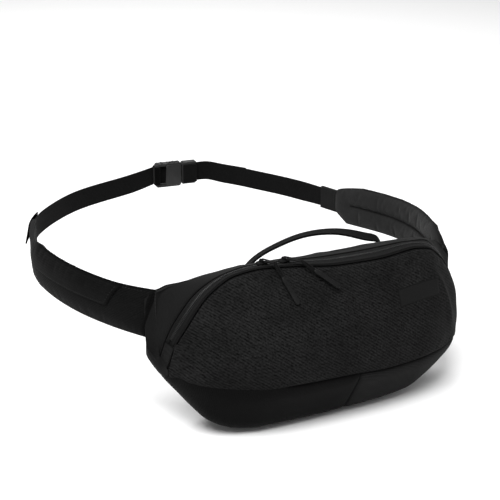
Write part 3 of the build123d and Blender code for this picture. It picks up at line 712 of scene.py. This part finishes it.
for side, low, high, row in (("left", -PANEL_END_X, ZIP_LOW_X, 3), ("right", ZIP_HIGH_X, PANEL_END_X, -4)):
    face = panel(f"zip_end_{side}_cloth", panel_grid(1, 2, low, high, 1.0), [GUSSET, LINING], "root",
                 f"zip_end_{side}", "smooth_fabric", swell=0.3, groove=0.9)
    stitches(f"zip_end_{side}_stitches", [(face[row], normals(face, -1)[row])], "root", 2.0, 1.5)

# Piping: a thin welt round each side of the zip.
for name, place, body in (("welt_rear", 1.0, "root"), ("welt_front", 1.985, "flap")):
    line, _ = zip_line(place, -PANEL_END_X + 1, PANEL_END_X - 1, 1.5, -0.05)
    dress(tube(name, line, 0.6, [PIPING]), body, "smooth_fabric")


def seam_stitches(name, face, distance, body):
    """Stitches on a panel's face, in a row that far from its first edge."""
    across, out = lengths(face, 1), normals(face, -1)
    line, away = [], []
    for i in range(2, face.shape[0] - 2):
        order = np.argsort(across[i])
        j = np.interp(distance, across[i][order], order.astype(float))
        line.append(pick(face, i, j))
        away.append(pick(out, i, j))
    stitches(name, [(line, away)], body)


seam_stitches("front_stitches_top", front_face, 3.2, "flap")

# Closed ends: every panel gathers into a cuff that the belt's wing is sewn into.
CUFF = (         # x, and how far the section grows there
    (146.0, -1.8), (147.4, -0.4), (149, 0.0), (151, 0.1), (153, 0.0), (155.3, -0.6), (156, -1.6),
)
for side, sign in (("left", -1), ("right", 1)):
    rings = []
    for x, grow in CUFF:
        c = corners(sign * x)
        ring = np.array([section_point(c, p) for p in np.linspace(0, 7, 64, endpoint=False)])
        rings.append([in_frame(sign * x, *p) for p in ring + unit(ring - ring.mean(0)) * grow])
    dress(loft(f"cuff_{side}", rings, [GUSSET]), "root", "smooth_fabric", f"pack_end_{side}")

# Blank tonal patch, welded to the front.
PATCH_LOW, PATCH_HIGH, PATCH_FROM, PATCH_TO = 49.0, 95.0, 0.40, 0.60
PATCH_LIFT, PATCH_T, PATCH_ROW = 0.75, 0.5, 35
front_rows, front_columns = front_face.shape[:2]
one = front_full[front_rows // 2 + PATCH_ROW]
down = lengths(one)
first, last = down[np.argmin(one[:, 1])] * PATCH_FROM, down[np.argmin(one[:, 1])] * PATCH_TO
rows_i = np.interp(np.linspace(PATCH_LOW, PATCH_HIGH, 40), front[:, 0, 0], np.arange(front_rows))
rows_j = np.interp(np.linspace(first, last, 14), down, np.arange(front_columns))
out = normals(front_face, -1)
patch = np.array([[pick(front_face, i, j) + pick(out, i, j) * PATCH_LIFT for j in rows_j] for i in rows_i])
near = border(patch)
patch = patch + normals(patch, -1) * (-0.6 * hump(near, 0.9))[..., None]
dress(shell("blank_patch_cloth", patch, patch - normals(patch, -1) * PATCH_T, [MARK], patch[:, :, 0],
            -lengths(patch, 1), near + 1.0, turned=True), "flap", "smooth_fabric", "blank_patch")

# ---- back pads, pocket, key clip ----------------------------------------------------------------
PAD_UP, PAD_CROWN, PAD_MOST, CHANNEL_GAP, CHANNEL_W = 74, 5.2, 6.9, 26, 2.0
PADS = (("left", -82, 92, 104), ("middle", 0, 56, 76), ("right", 82, 92, 104))
for side, middle, width, height in PADS:
    columns, rows = int(width / 2) + 1, int(height / 2) + 1
    p, q = np.meshgrid(np.linspace(-1, 1, columns), np.linspace(-1, 1, rows), indexing="ij")
    squeeze = 1 - 0.055 * (np.abs(p * q) ** 2.2) * 2.2     # its corners are drawn in
    pad = np.stack([middle + p * squeeze * width / 2, np.full(p.shape, BACK_Y - 0.4),
                    BASE_Z + PAD_UP + q * squeeze * height / 2], axis=-1)
    near = border(pad)
    full = PAD_CROWN * (1 - np.exp(-(near / 6.0) ** 1.3))
    channel = sum(hump(pad[:, :, 2] - (BASE_Z + PAD_UP) - k * CHANNEL_GAP, CHANNEL_W)
                  for k in ((-1, 0, 1) if middle else (0,)))
    full = full * (1 - 0.42 * np.clip(channel, 0, 1) * (near > 8))
    crowned = pad + np.array((0.0, 1.0, 0.0)) * full[..., None]
    crowned = puff(crowned, (near < 0.1).astype(float), 1.2, 1.6, grow=0.01, side=-1)
    crowned[:, :, 1] = np.minimum(crowned[:, :, 1], BACK_Y + PAD_MOST)
    under = pad.copy()
    under[:, :, 1] = BACK_Y - 1.0
    dress(shell(f"back_pad_{side}_cushion", crowned, under, [MESH], pad[:, :, 0], pad[:, :, 2], near + 0.5,
                turned=True), "root", "mesh_padding", f"back_pad_{side}", fill=0.6)

POCKET_OUT, POCKET_UP, POCKET_W, POCKET_H, POCKET_T, HEM_W, HEM_T = 7.0, 62.0, 190.0, 74.0, 0.8, 7, 0.5
xs, ups = np.linspace(-POCKET_W / 2, POCKET_W / 2, 60), np.linspace(-POCKET_H / 2, POCKET_H / 2, 26)
pocket = np.array([[(x, BACK_Y - POCKET_OUT - 0.8 + 0.5 * fold(x, z, 31, 24) * (1 - (2 * x / POCKET_W) ** 2),
                     BASE_Z + POCKET_UP + z) for z in ups] for x in xs])
pocket[:, :, 1] -= np.where(ups > POCKET_H / 2 - HEM_W, HEM_T, 0.0)
dress(shell("inner_pocket_cloth", pocket, pocket + np.array((0, POCKET_T, 0)), [LINING], pocket[:, :, 0],
            pocket[:, :, 2], border(pocket) + 1.0), "root", "lining", "inner_pocket")

low, high = (v * 1000 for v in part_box("key_strap"))
key_line = np.array([((low[0] + high[0]) / 2, (low[1] + high[1]) / 2, z)
                     for z in np.linspace(low[2], high[2], 16)])
dress(band("key_strap_webbing", key_line, (1.0, 0, 0), (0, -1.0, 0), 10.0, 1.2, WEBBING), "root", "webbing",
      "key_strap")

# ---- sliders and pulls --------------------------------------------------------------------------
SLIDER_X = {"left": -67.0, "right": -46.0}
ZIP_MIDDLE, SLIDER_RISE = 1.52, 2.2
SLIDER_RINGS = (         # along the zip, half the width, height
    (-4.6, 1.6, 0.5), (-4.3, 2.5, 1.0), (-3.4, 3.2, 1.4), (-1.5, 3.5, 1.6), (0.5, 3.3, 1.6), (2.2, 3.5, 1.5),
    (3.6, 3.3, 1.2), (4.3, 2.7, 0.9), (4.6, 1.8, 0.5),
)
PULLS = {
    "left": {"edge": (-62.0, 54.8, 158.6), "tip": (-49.0, 72.5, 126.0)},
    "right": {"edge": (-37.0, 56.0, 156.4), "tip": (-8.5, 71.0, 133.0)},
}
CROWN_REACH, CROWN_FOOT, CROWN_RISE, CROWN_WIRE, RING_POINTS = 2.1, 0.9, 2.3, 0.72, 20
CORD_SHARE, CORD_R, CORD_BACK, CORD_HALF_W, GRIP_W, GRIP_T, GRIP_RIBS = 0.32, 0.85, 1.6, 1.25, 5.0, 2.8, 9


def rounded_ring(centre, one, two, half_one, half_two, power=3.2):
    """A rounded-rectangle ring about centre, half_one along one and half_two along two."""
    ring = []
    for t in np.arange(RING_POINTS) * 2 * pi / RING_POINTS:
        radius = (abs(cos(t)) ** power + abs(sin(t)) ** power) ** (-1 / power)
        ring.append(centre + one * half_one * radius * cos(t) + two * half_two * radius * sin(t))
    return ring


x_dir, y_dir, z_dir = np.eye(3)
for side, places in PULLS.items():
    zip_out, zip_up = section_point(corners(SLIDER_X[side]), ZIP_MIDDLE)
    edge, tip = in_frame(*places["edge"]), in_frame(*places["tip"])
    base = in_frame(SLIDER_X[side], zip_out, zip_up + SLIDER_RISE)
    rings = [rounded_ring(base + x_dir * along + z_dir * (high * 0.5 - 0.6), y_dir, z_dir, half,
                          high * 0.5 + 0.35) for along, half, high in SLIDER_RINGS]
    dress(loft(f"slider_{side}_body", rings, [METAL], smooth=40), f"slider_{side}", "zip_metal",
          f"slider_{side}")
    lean = unit(np.array((edge[0] - base[0], edge[1] - base[1], 0.0)))
    arch = [base + lean * (CROWN_REACH * cos(t)) + z_dir * (CROWN_FOOT + CROWN_RISE * sin(t))
            for t in np.linspace(0, pi, 15)]
    dress(tube(f"slider_{side}_crown", arch, CROWN_WIRE, [METAL], up=np.cross(lean, z_dir)), f"slider_{side}",
          "zip_metal")

    along = unit(tip - edge)
    across = unit(np.cross(along, (0, -0.6, 0.8)))
    away = np.cross(across, along)
    drop = np.linalg.norm(tip - edge)
    neck = drop * CORD_SHARE
    loop = []
    for t in np.linspace(0, 2 * pi, 44, endpoint=False):
        share = 0.5 - 0.5 * cos(t)
        reach = 1.0 + (neck + CORD_BACK) * share
        loop.append(edge + along * (reach - CORD_BACK) + across * CORD_HALF_W * sin(t) * (1 - 0.25 * share)
                    + away * 0.25 * sin(2 * t))
    dress(tube(f"pull_loop_{side}", loop, CORD_R, [CORD], sides=10, up=away, closed=True), f"grip_{side}",
          "cord", f"pull_cord_{side}")
    rings = []
    for share in np.concatenate([[0.0, 0.02, 0.05], np.linspace(0.1, 0.9, 33), [0.95, 0.98, 1.0]]):
        size = min(1.0, 0.35 + 0.65 * (min(share, 1 - share, 0.08) / 0.08) ** 0.5)
        rib = 0.16 * cos(share * 2 * pi * GRIP_RIBS) ** 2 if 0.3 < share < 0.85 else 0.0
        at = edge + along * (neck + 0.4 + (drop - neck) * share)
        rings.append(rounded_ring(at, across, away, GRIP_W / 2 * size * (0.86 + 0.14 * share) - rib,
                                  GRIP_T / 2 * size * (0.9 + 0.1 * share) - rib, 2.6))
    dress(loft(f"pull_grip_{side}_moulding", rings, [GRIP]), f"grip_{side}", "grip_plastic",
          f"pull_grip_{side}")

# ---- grab handle --------------------------------------------------------------------------------
HANDLE_X, HANDLE_Y, HANDLE_W, HANDLE_T = 8.0, -165.0, 11.0, 1.9
HANDLE = (       # x, z, turn in degrees
    (-64, 14, 16), (-60.5, 18, 17), (-54, 25, 17), (-42, 32.5, 16), (-28, 37.3, 13), (-13, 41.0, 10),
    (3, 43.0, 5), (20, 42.6, -2), (38, 39.8, -12), (58, 33.6, -28), (70, 29.5, -34), (79, 25.8, -34),
    (83, 20, -20),
)
BLENDS["handle_foot"] = ("root", "handle", (HANDLE_X * 0.001, HANDLE_Y * 0.001, 0.019),
                         (HANDLE_X * 0.001, HANDLE_Y * 0.001, 0.033))


def smooth_line(points, step):
    """A natural cubic curve through points, sampled at even steps of length."""
    points = np.asarray(points, float)
    chord = lengths(points[:, :3])
    count = len(points)
    matrix, right = np.eye(count), np.zeros_like(points)
    gaps = np.diff(chord)
    for k in range(1, count - 1):
        matrix[k, k - 1:k + 2] = gaps[k - 1], 2 * (gaps[k - 1] + gaps[k]), gaps[k]
        right[k] = 6 * ((points[k + 1] - points[k]) / gaps[k] - (points[k] - points[k - 1]) / gaps[k - 1])
    bend = np.linalg.solve(matrix, right)

    def at(s):
        k = min(int(np.searchsorted(chord, s, "right")) - 1, count - 2)
        h, t = gaps[k], s - chord[k]
        slope = (points[k + 1] - points[k]) / h - h * (2 * bend[k] + bend[k + 1]) / 6
        return points[k] + t * slope + t * t * bend[k] / 2 + t ** 3 * (bend[k + 1] - bend[k]) / (6 * h)

    fine = np.array([at(s) for s in np.linspace(0, chord[-1], 900)])
    run = lengths(fine[:, :3])
    places = np.linspace(0, run[-1], int(run[-1] / step) + 1)
    return sample(fine, run, places), places


samples, _ = smooth_line([(x, HANDLE_Y, z, turn) for x, z, turn in HANDLE], 1.5)
middle, turn = samples[:, :3], np.radians(samples[:, 3])[:, None]
wide = np.tile((0.0, 1.0, 0.0), (len(middle), 1))
face = np.cross(unit(np.gradient(middle, axis=0)), wide)
wide, face = wide * np.cos(turn) - face * np.sin(turn), face * np.cos(turn) + wide * np.sin(turn)
run = lengths(middle)
narrow = 1 - 0.45 * np.exp(-run / 5.0) - 0.6 * np.exp(-(run[-1] - run) / 14.0)
dress(band("handle_webbing", middle, wide, face, HANDLE_W, HANDLE_T, WEBBING, narrow), "handle_foot",
      "webbing", "grab_handle")
for end, sign in (("front", -1), ("rear", 1)):
    stitches(f"handle_stitches_{end}", [(middle + face * 0.95 + wide * 3.9 * sign * narrow[:, None], face)],
             "handle_foot", 2.6, 2.0, 0.22)

for side in ("left", "right"):
    low, high = (np.array(v) * 1000 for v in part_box(f"handle_anchor_{side}"))
    line = np.array([((low[0] + high[0]) / 2, BACK_Y + 0.9 + 0.5 * cos((z - low[2]) * 0.5), z)
                     for z in np.linspace(low[2], high[2], 12)])
    dress(band(f"handle_anchor_{side}_tack", line, (1.0, 0, 0), (0, 1.0, 0), high[0] - low[0], 1.7, WEBBING),
          "root", "webbing", f"handle_anchor_{side}")
    bars = [([(x, BACK_Y + 2.1, z) for x in np.linspace(low[0] + 1, high[0] - 1, 9)], (0.0, 1.0, 0.0))
            for z in np.arange(low[2] + 1.2, high[2] - 0.8, 1.1)]
    stitches(f"handle_anchor_{side}_stitches", bars, "root", 1.6, 1.4, 0.2)

# ---- belt ---------------------------------------------------------------------------------------
BUCKLE_X, BUCKLE_Y, BUCKLE_Z, BUCKLE_TURN = 36.0, 178.0, 3.0, radians(-8.0)


def on_buckle(along, across=0.0):
    """A point by its distance along the buckle and across its thickness, towards the wearer."""
    return (BUCKLE_X + along * cos(BUCKLE_TURN) + across * sin(BUCKLE_TURN),
            BUCKLE_Y + along * sin(BUCKLE_TURN) - across * cos(BUCKLE_TURN), BUCKLE_Z)


ROUTES = {
    "left": [(-157, -168, 0), (-168, -139, 0), (-180, -103, 0), (-188, -62, 0), (-190, -22, 0),
             (-185, 16, 0), (-172, 56, 0), (-151, 94, 0), (-122, 124, 0), (-88, 148, 0),
             (-50, 163, 0), (-15, 172, 1.2), on_buckle(-22.4)],
    "right": [(153, -168, 0), (161, -136, 0), (171, -103, 0), (173.5, -70, 0), (168, -40, 0),
              (158, -12, 0), (149, 14, 0), (142, 42, 0), (134, 69, 0), (124, 95, 0), (112, 121, 0),
              (99, 146, 0.3), (86, 163.5, 1.3), on_buckle(38), on_buckle(31), on_buckle(24)],
}
BELT_STEP = 1.5
ROUTE_LINES = {side: smooth_line(points, BELT_STEP) for side, points in ROUTES.items()}
OUTWARD = {"left": 1.0, "right": -1.0}
TAB_LENGTH = {"left": 66.0, "right": 22.0}
WING_LENGTH, WING_HALF_H, WING_SKIN_T, WING_EDGE_T, TAPER = 190.0, 22.0, 5.0, 0.25, 34.0
TAB_HALF_H, TAB_HALF_T, TAB_LESS, STRAP_T, STRAP_H = 12.0, 2.2, 0.6, 1.4, 20.0
WING_RISE, WING_DROP, CHAMFER = 21.0, 21.4, 14.0     # the wing above and below the belt's middle line
ROOT_SPAN = 42.0         # how far from the pack the wing still follows the shape of the pack's end
BLEND_SPAN = 26.0        # how far from the pack the wing's span between the pack and the belt reaches, as listed in BLENDS
SLEEVE_FROM, SLEEVE_TO, SLEEVE_TOP, SLEEVE_SLANT, SLEEVE_T = 24, 168, 0.96, 13, 0.9
GROOVE_END = 18          # how far from its outer end the groove in the wing's inner face stops
BOX_HALF = 8.5           # the box of stitches on the tab
UP = np.array((0.0, 0.0, 1.0))


def belt_at(side, s):
    """The belt's middle line at arc length s, and the direction away from the wearer."""
    line, places = ROUTE_LINES[side]
    s = np.clip(s, 0, places[-1])
    ahead, behind = (sample(line, places, np.clip(s + ds, 0, places[-1])) for ds in (BELT_STEP, -BELT_STEP))
    along = unit(ahead - behind)
    outward = np.stack([-along[..., 1], along[..., 0], along[..., 2] * 0], axis=-1) * OUTWARD[side]
    return sample(line, places, s), unit(outward)


def wing_taper(s):
    return np.clip((WING_LENGTH - s) / TAPER, 0, 1)


def wing_height(side, s, q):
    """Height of the wing's points: q is 1 at its upper edge and -1 at its lower one."""
    rise = TAB_HALF_H + (WING_RISE - TAB_HALF_H) * wing_taper(s) ** 0.6
    drop = TAB_HALF_H + (WING_DROP - TAB_HALF_H) * np.clip((WING_LENGTH - s) / CHAMFER, 0, 1)
    if side == "right":
        rise = rise * (0.3 + 0.7 * np.sin(np.clip(s / 28, 0, 1) * pi / 2))
    return np.where(q > 0, rise, drop) * q


def root_shift(side, s, q):
    """The wing's root leans over the pack's end, more so at the top."""
    share = np.clip(1 - s / ROOT_SPAN, 0, 1) ** 2
    top, foot = share * (1 + q) / 2, share * (1 - q) / 2
    inward = (12.0 * top + 2.5 * foot) if side == "left" else -4.0 * top
    return np.stack([inward, -3.6 * top, 0 * top], axis=-1)


def wing_grid(side, s, q, depth):
    """Points of a wing at lengths s and heights q, depth mm outwards from its middle."""
    point, outward = belt_at(side, s)
    return (point + outward * depth[..., None] + UP * wing_height(side, s, q)[..., None]
            + root_shift(side, s, q))


s_wing, q_wing = np.linspace(0, WING_LENGTH, 96), np.linspace(-1, 1, 25)
s_grid, q_grid = np.meshgrid(s_wing, q_wing, indexing="ij")
edge = ((np.abs(q_grid) > 0.99) | (s_grid > WING_LENGTH - 1) | (s_grid < 1)).astype(float)
near = np.minimum((1 - np.abs(q_grid)) * WING_HALF_H, np.minimum(WING_LENGTH - s_grid, s_grid * 0.6))
skin = TAB_HALF_T + (WING_SKIN_T - TAB_HALF_T) * wing_taper(s_grid)
crown = (skin - WING_EDGE_T) * (1 - np.abs(q_grid) ** 3.0) ** 0.55
groove = 1 - 0.62 * hump(q_grid, 0.075) * np.clip((WING_LENGTH - 16 - s_grid) / 8, 0, 1)
channel = ((np.abs(q_grid) < 0.05) & (s_grid < WING_LENGTH - GROOVE_END)).astype(float)
# Distances that darken the wing's faces along the sleeve's edges and along the groove: painted shade.
sleeve_edge = np.where((s_grid > 36) & (s_grid < SLEEVE_TO), np.abs(q_grid) * WING_HALF_H - 0.2, NO_SEAM)
groove_edge = np.where(s_grid < WING_LENGTH - GROOVE_END, np.abs(q_grid) * 22 + 0.6, 99)
for side in ("left", "right"):
    turned, belt, route_end = side == "left", f"belt_{side}", ROUTE_LINES[side][1][-1]
    face_side = -1 if turned else 1
    start, stop = (tuple(belt_at(side, np.array(s))[0] * 0.001) for s in (0.0, BLEND_SPAN))
    BLENDS[f"wing_{side}"] = ("root", belt, start, stop)
    flat = wing_grid(side, s_grid, q_grid, 0.0 * s_grid)
    height = wing_height(side, s_grid, q_grid)

    outer = wing_grid(side, s_grid, q_grid, WING_EDGE_T + crown)
    creases = 0.5 * wrinkle(outer, 41, 26, 30, 60) * np.clip(near / 5, 0, 1)
    outer = puff(outer + normals(outer, face_side) * creases[..., None], edge, 1.2, 1.2, grow=0.012,
                 side=face_side)
    away = normals(outer, face_side)
    dress(shell(f"wing_{side}_face", outer, flat, [WING], s_grid, height,
                np.minimum(near + 0.4, np.maximum(sleeve_edge, 0.0)), turned=turned),
          f"wing_{side}", "twill", f"wing_{side}_outer", fill=0.5)
    for k, row in enumerate((1, -2)):
        stitches(f"wing_{side}_edge_stitches_{k}", [(outer[4:-3, row], away[4:-3, row])], belt, 3.0, 2.2,
                 0.22)

    inner = wing_grid(side, s_grid, q_grid, -(WING_EDGE_T + crown * groove))
    creases = 0.7 * wrinkle(inner, 44 if turned else 43, 9, 26, 12) * np.clip(near / 6, 0, 1)
    inner = puff(inner + normals(inner, -face_side) * creases[..., None], np.maximum(edge, channel), 1.6, 1.6,
                 grow=0.02, side=-face_side)
    dress(shell(f"wing_{side}_pad_face", inner, flat, [SOFT], s_grid, height,
                np.minimum(near + 0.4, groove_edge), turned=not turned),
          f"wing_{side}", "mesh_padding", f"wing_{side}_pad", fill=0.6)

    # Stow sleeve: a flat pocket of cloth over the upper half of the wing.
    rows, columns = 80, 12
    sleeve = np.zeros((rows, columns, 3))
    for j, q in enumerate(np.linspace(0.0, SLEEVE_TOP, columns)):
        for i, s in enumerate(np.linspace(SLEEVE_FROM + (1 - q) * SLEEVE_SLANT, SLEEVE_TO, rows)):
            at = (s / WING_LENGTH * (len(s_wing) - 1), (q + 1) / 2 * (len(q_wing) - 1))
            sleeve[i, j] = pick(outer, *at) + pick(away, *at) * (1.7 + 0.35 * fold(s, q * 22, 47, 18))
    sleeve_near = border(sleeve)
    sleeve = sleeve + normals(sleeve, face_side) * (-0.7 * hump(sleeve_near, 1.2))[..., None]
    out = normals(sleeve, face_side)
    dress(shell(f"wing_{side}_sleeve_cloth", sleeve, sleeve - out * SLEEVE_T, [WING], lengths(sleeve, 0),
                lengths(sleeve, 1), sleeve_near, turned=turned), belt, "twill", f"wing_{side}_sleeve")
    for k, row in enumerate((np.s_[2:-2, 1], np.s_[2, 1:-1])):
        stitches(f"wing_{side}_sleeve_stitches_{k}", [(sleeve[row], out[row])], belt, 3.0, 2.2, 0.24)

    # Sewn end tab, with its box of stitches.
    stop = WING_LENGTH + TAB_LENGTH[side]
    point, outward = belt_at(side, np.arange(WING_LENGTH - 4, stop + 0.1, 1.0))
    dress(band(f"wing_{side}_tab_webbing", point, UP, outward, 2 * TAB_HALF_H - TAB_LESS,
               2 * TAB_HALF_T - TAB_LESS, GUSSET), belt, "smooth_fabric", f"wing_{side}_tab")
    for k, facing in enumerate((1, -1)):
        lift = outward * facing
        box = [(point + lift * (TAB_HALF_T - 0.25) + UP * h, lift) for h in (-BOX_HALF, BOX_HALF)]
        for s in (3.0, TAB_LENGTH[side] - 2.0):
            at, out = belt_at(side, np.full(12, WING_LENGTH + s))
            box.append((at + out * facing * (TAB_HALF_T - 0.25)
                        + UP * np.linspace(-BOX_HALF, BOX_HALF, 12)[:, None], out * facing))
        stitches(f"wing_{side}_tab_stitches_{k}", box, belt, 2.4, 1.9, 0.26)

    # Webbing from the tab to the buckle.
    s_strap = np.append(np.arange(stop - 6, route_end - 0.5, 1.5), route_end)
    point, outward = belt_at(side, s_strap)
    sway = np.array([0.6 * fold(s, 0, 51, 70) for s in s_strap])[:, None]
    lean = np.array([radians(5) * fold(s, 3, 52, 90) for s in s_strap])[:, None]
    ease = np.clip(np.minimum(s_strap - stop, route_end - s_strap) / 30, 0, 1)[:, None]
    wide = UP * np.cos(lean * ease) + outward * np.sin(lean * ease)
    face = outward * np.cos(lean * ease) - UP * np.sin(lean * ease)
    dress(band(f"webbing_{side}_strap", point + outward * sway * ease - UP * 0.4 * ease, wide, face,
               STRAP_H, STRAP_T, WEBBING, 1 + 0.06 * ease[:, 0]), belt, "webbing", f"webbing_{side}")

TAIL_LENGTH, TAIL_FLARE, STOW, STOW_TILT = 62.0, 9, (244.0, 284.0), radians(12)
route_end = ROUTE_LINES["right"][1][-1]
s_tail = np.arange(route_end - TAIL_LENGTH, route_end, 1.5)
point, outward = belt_at("right", s_tail)
gap = STRAP_T + 0.35 + 1.0 * np.exp(-(s_tail - s_tail[0]) / TAIL_FLARE)[:, None]
dress(band("webbing_tail_strap", point + outward * gap, UP, outward, STRAP_H, STRAP_T, WEBBING), "belt_right",
      "webbing", "webbing_tail")
point, outward = belt_at("right", np.full(10, s_tail[0] + 5.0))
row = point + outward * (STRAP_T * 1.5 + 1.0) + UP * np.linspace(-8, 8, 10)[:, None]
stitches("webbing_tail_stitches", [(row, outward)], "belt_right", 1.8, 1.5, 0.24)

# The left webbing's loose end; its lower edge stands away from the tab.
s_stow = np.arange(*STOW, 1.5)
point, outward = belt_at("left", s_stow)
gap = TAB_HALF_T + STRAP_T / 2 + 2.6 + (s_stow - STOW[0]) * 0.01
# Its darker webbing is painted shade.
dress(band("webbing_stow_end_strap", point + outward * gap[:, None],
           UP * cos(STOW_TILT) - outward * sin(STOW_TILT), outward * cos(STOW_TILT) + UP * sin(STOW_TILT),
           STRAP_H, STRAP_T, SHADED_WEBBING), "belt_left", "webbing", "webbing_stow_end")

# ---- buckle: its frame shapes are right, so they get their finish --------------------------------
TOWARDS_WEARER = (sin(BUCKLE_TURN), -cos(BUCKLE_TURN), 0.0)
FACE = 4.5               # half the socket's thickness
LUGS = (-17.5, -12.5, -5.5, 1.0, 6.5)
FINISH = {
    "buckle_female": BUCKLE_PLASTIC, "buckle_male": BUCKLE_PLASTIC, "buckle_prong_upper": BUCKLE_PLASTIC,
    "buckle_prong_lower": BUCKLE_PLASTIC, "webbing_loop_left": WEBBING, "pull_tab_left": METAL,
    "pull_tab_right": METAL, "key_hook": HOOK_PLASTIC, "back_stiffener": LINING,
}

# The left webbing's end, turned back through the buckle's window.
fold_line = np.array([on_buckle(s, -0.9 * cos((s + 11.7) / 9 * pi)) for s in np.linspace(-16.2, -7.2, 9)])
dress(band("webbing_fold", fold_line, UP, TOWARDS_WEARER, STRAP_H, 2.4, WEBBING), "belt_left", "webbing")


def plate(name, outline, near, far, edge, body):
    """A moulded plate on the buckle, towards the wearer: outline is (along, up from its axis) points."""
    outline = np.array(outline, float)
    middle = outline.mean(0)
    away = outline - middle
    rings = []
    for across, inset in ((near, edge), (near + edge * 0.5, edge * 0.2), (near + edge, 0), (far - edge, 0),
                          (far - edge * 0.4, edge * 0.3), (far, edge)):
        ring = middle + away * (1 - inset / np.linalg.norm(away, axis=1, keepdims=True))
        rings.append([on_buckle(x, across) + UP * z for x, z in ring])
    dress(loft(name, rings, [BUCKLE_PLASTIC], smooth=40), body, "buckle_plastic")


def rounded_outline(low, high, foot, top, slant, corner=1.6):
    """A rounded rectangle whose left side slants."""
    points = []
    for x, z, start in ((high - corner, top - corner, 0), (low + corner, top - corner, 90),
                        (low + corner, foot + corner, 180), (high - corner, foot + corner, 270)):
        lean = slant * (z - foot) / (top - foot) if start in (90, 180) else 0.0
        points += [(x + lean + corner * cos(radians(start + t)), z + corner * sin(radians(start + t)))
                   for t in (0, 22, 45, 68, 90)]
    return points


plate("buckle_female_plate", rounded_outline(-9.6, 8.6, -11.6, 11.6, 1.6), FACE - 0.3, FACE + 0.9, 0.5,
      "belt_left")
for k, along in enumerate(LUGS):
    lug = rounded_outline(along - 1.3, along + 1.3, 11.9, 14.0 + 0.35 * (k % 2), 0, 0.6)
    plate(f"buckle_female_lug_{k}", lug, -2.6, 3.6, 0.5, "belt_left")
plate("buckle_male_rim", rounded_outline(11.0, 26.5, 10.6, 12.9, 0, 0.9), -3.4, 4.9, 0.5, "buckle_insert")
wrap_line = np.array([on_buckle(s, 4.9 - 1.6 * np.clip((s - 23) / 4.2, 0, 1) ** 2)
                      for s in np.linspace(11.4, 27.2, 14)])
dress(band("insert_webbing", wrap_line - UP * 0.6, UP, TOWARDS_WEARER, STRAP_H, STRAP_T, WEBBING),
      "buckle_insert", "webbing")
for name, material in FINISH.items():
    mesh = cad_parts[name].data
    mesh.materials.clear()
    mesh.materials.append(material)
    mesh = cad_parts[name].data
    mesh.materials.clear()
    mesh.materials.append(material)

# ---- floor --------------------------------------------------------------------------------------
FLOOR_HALF, FLOOR_GAP = 4.0, 0.0005
floor_mesh = bpy.data.meshes.new("floor")
floor_mesh.from_pydata([(FLOOR_HALF * x, FLOOR_HALF * y, 0)
                        for x, y in ((-1, -1), (1, -1), (1, 1), (-1, 1))], [], [(0, 1, 2, 3)])
floor = bpy.data.objects.new("floor", floor_mesh)
floor.location = (0, 0, CAD_BOX[0][2] - FLOOR_GAP)
paint = bpy.data.materials.new("floor_paint")
paint.use_nodes = True
for key, value in (("Base Color", (0.9, 0.9, 0.9, 1)), ("Roughness", 0.9), ("Specular IOR Level", 0.1)):
    paint.node_tree.nodes["Principled BSDF"].inputs[key].default_value = value
floor_mesh.materials.append(paint)
SCENE.collection.objects.link(floor)
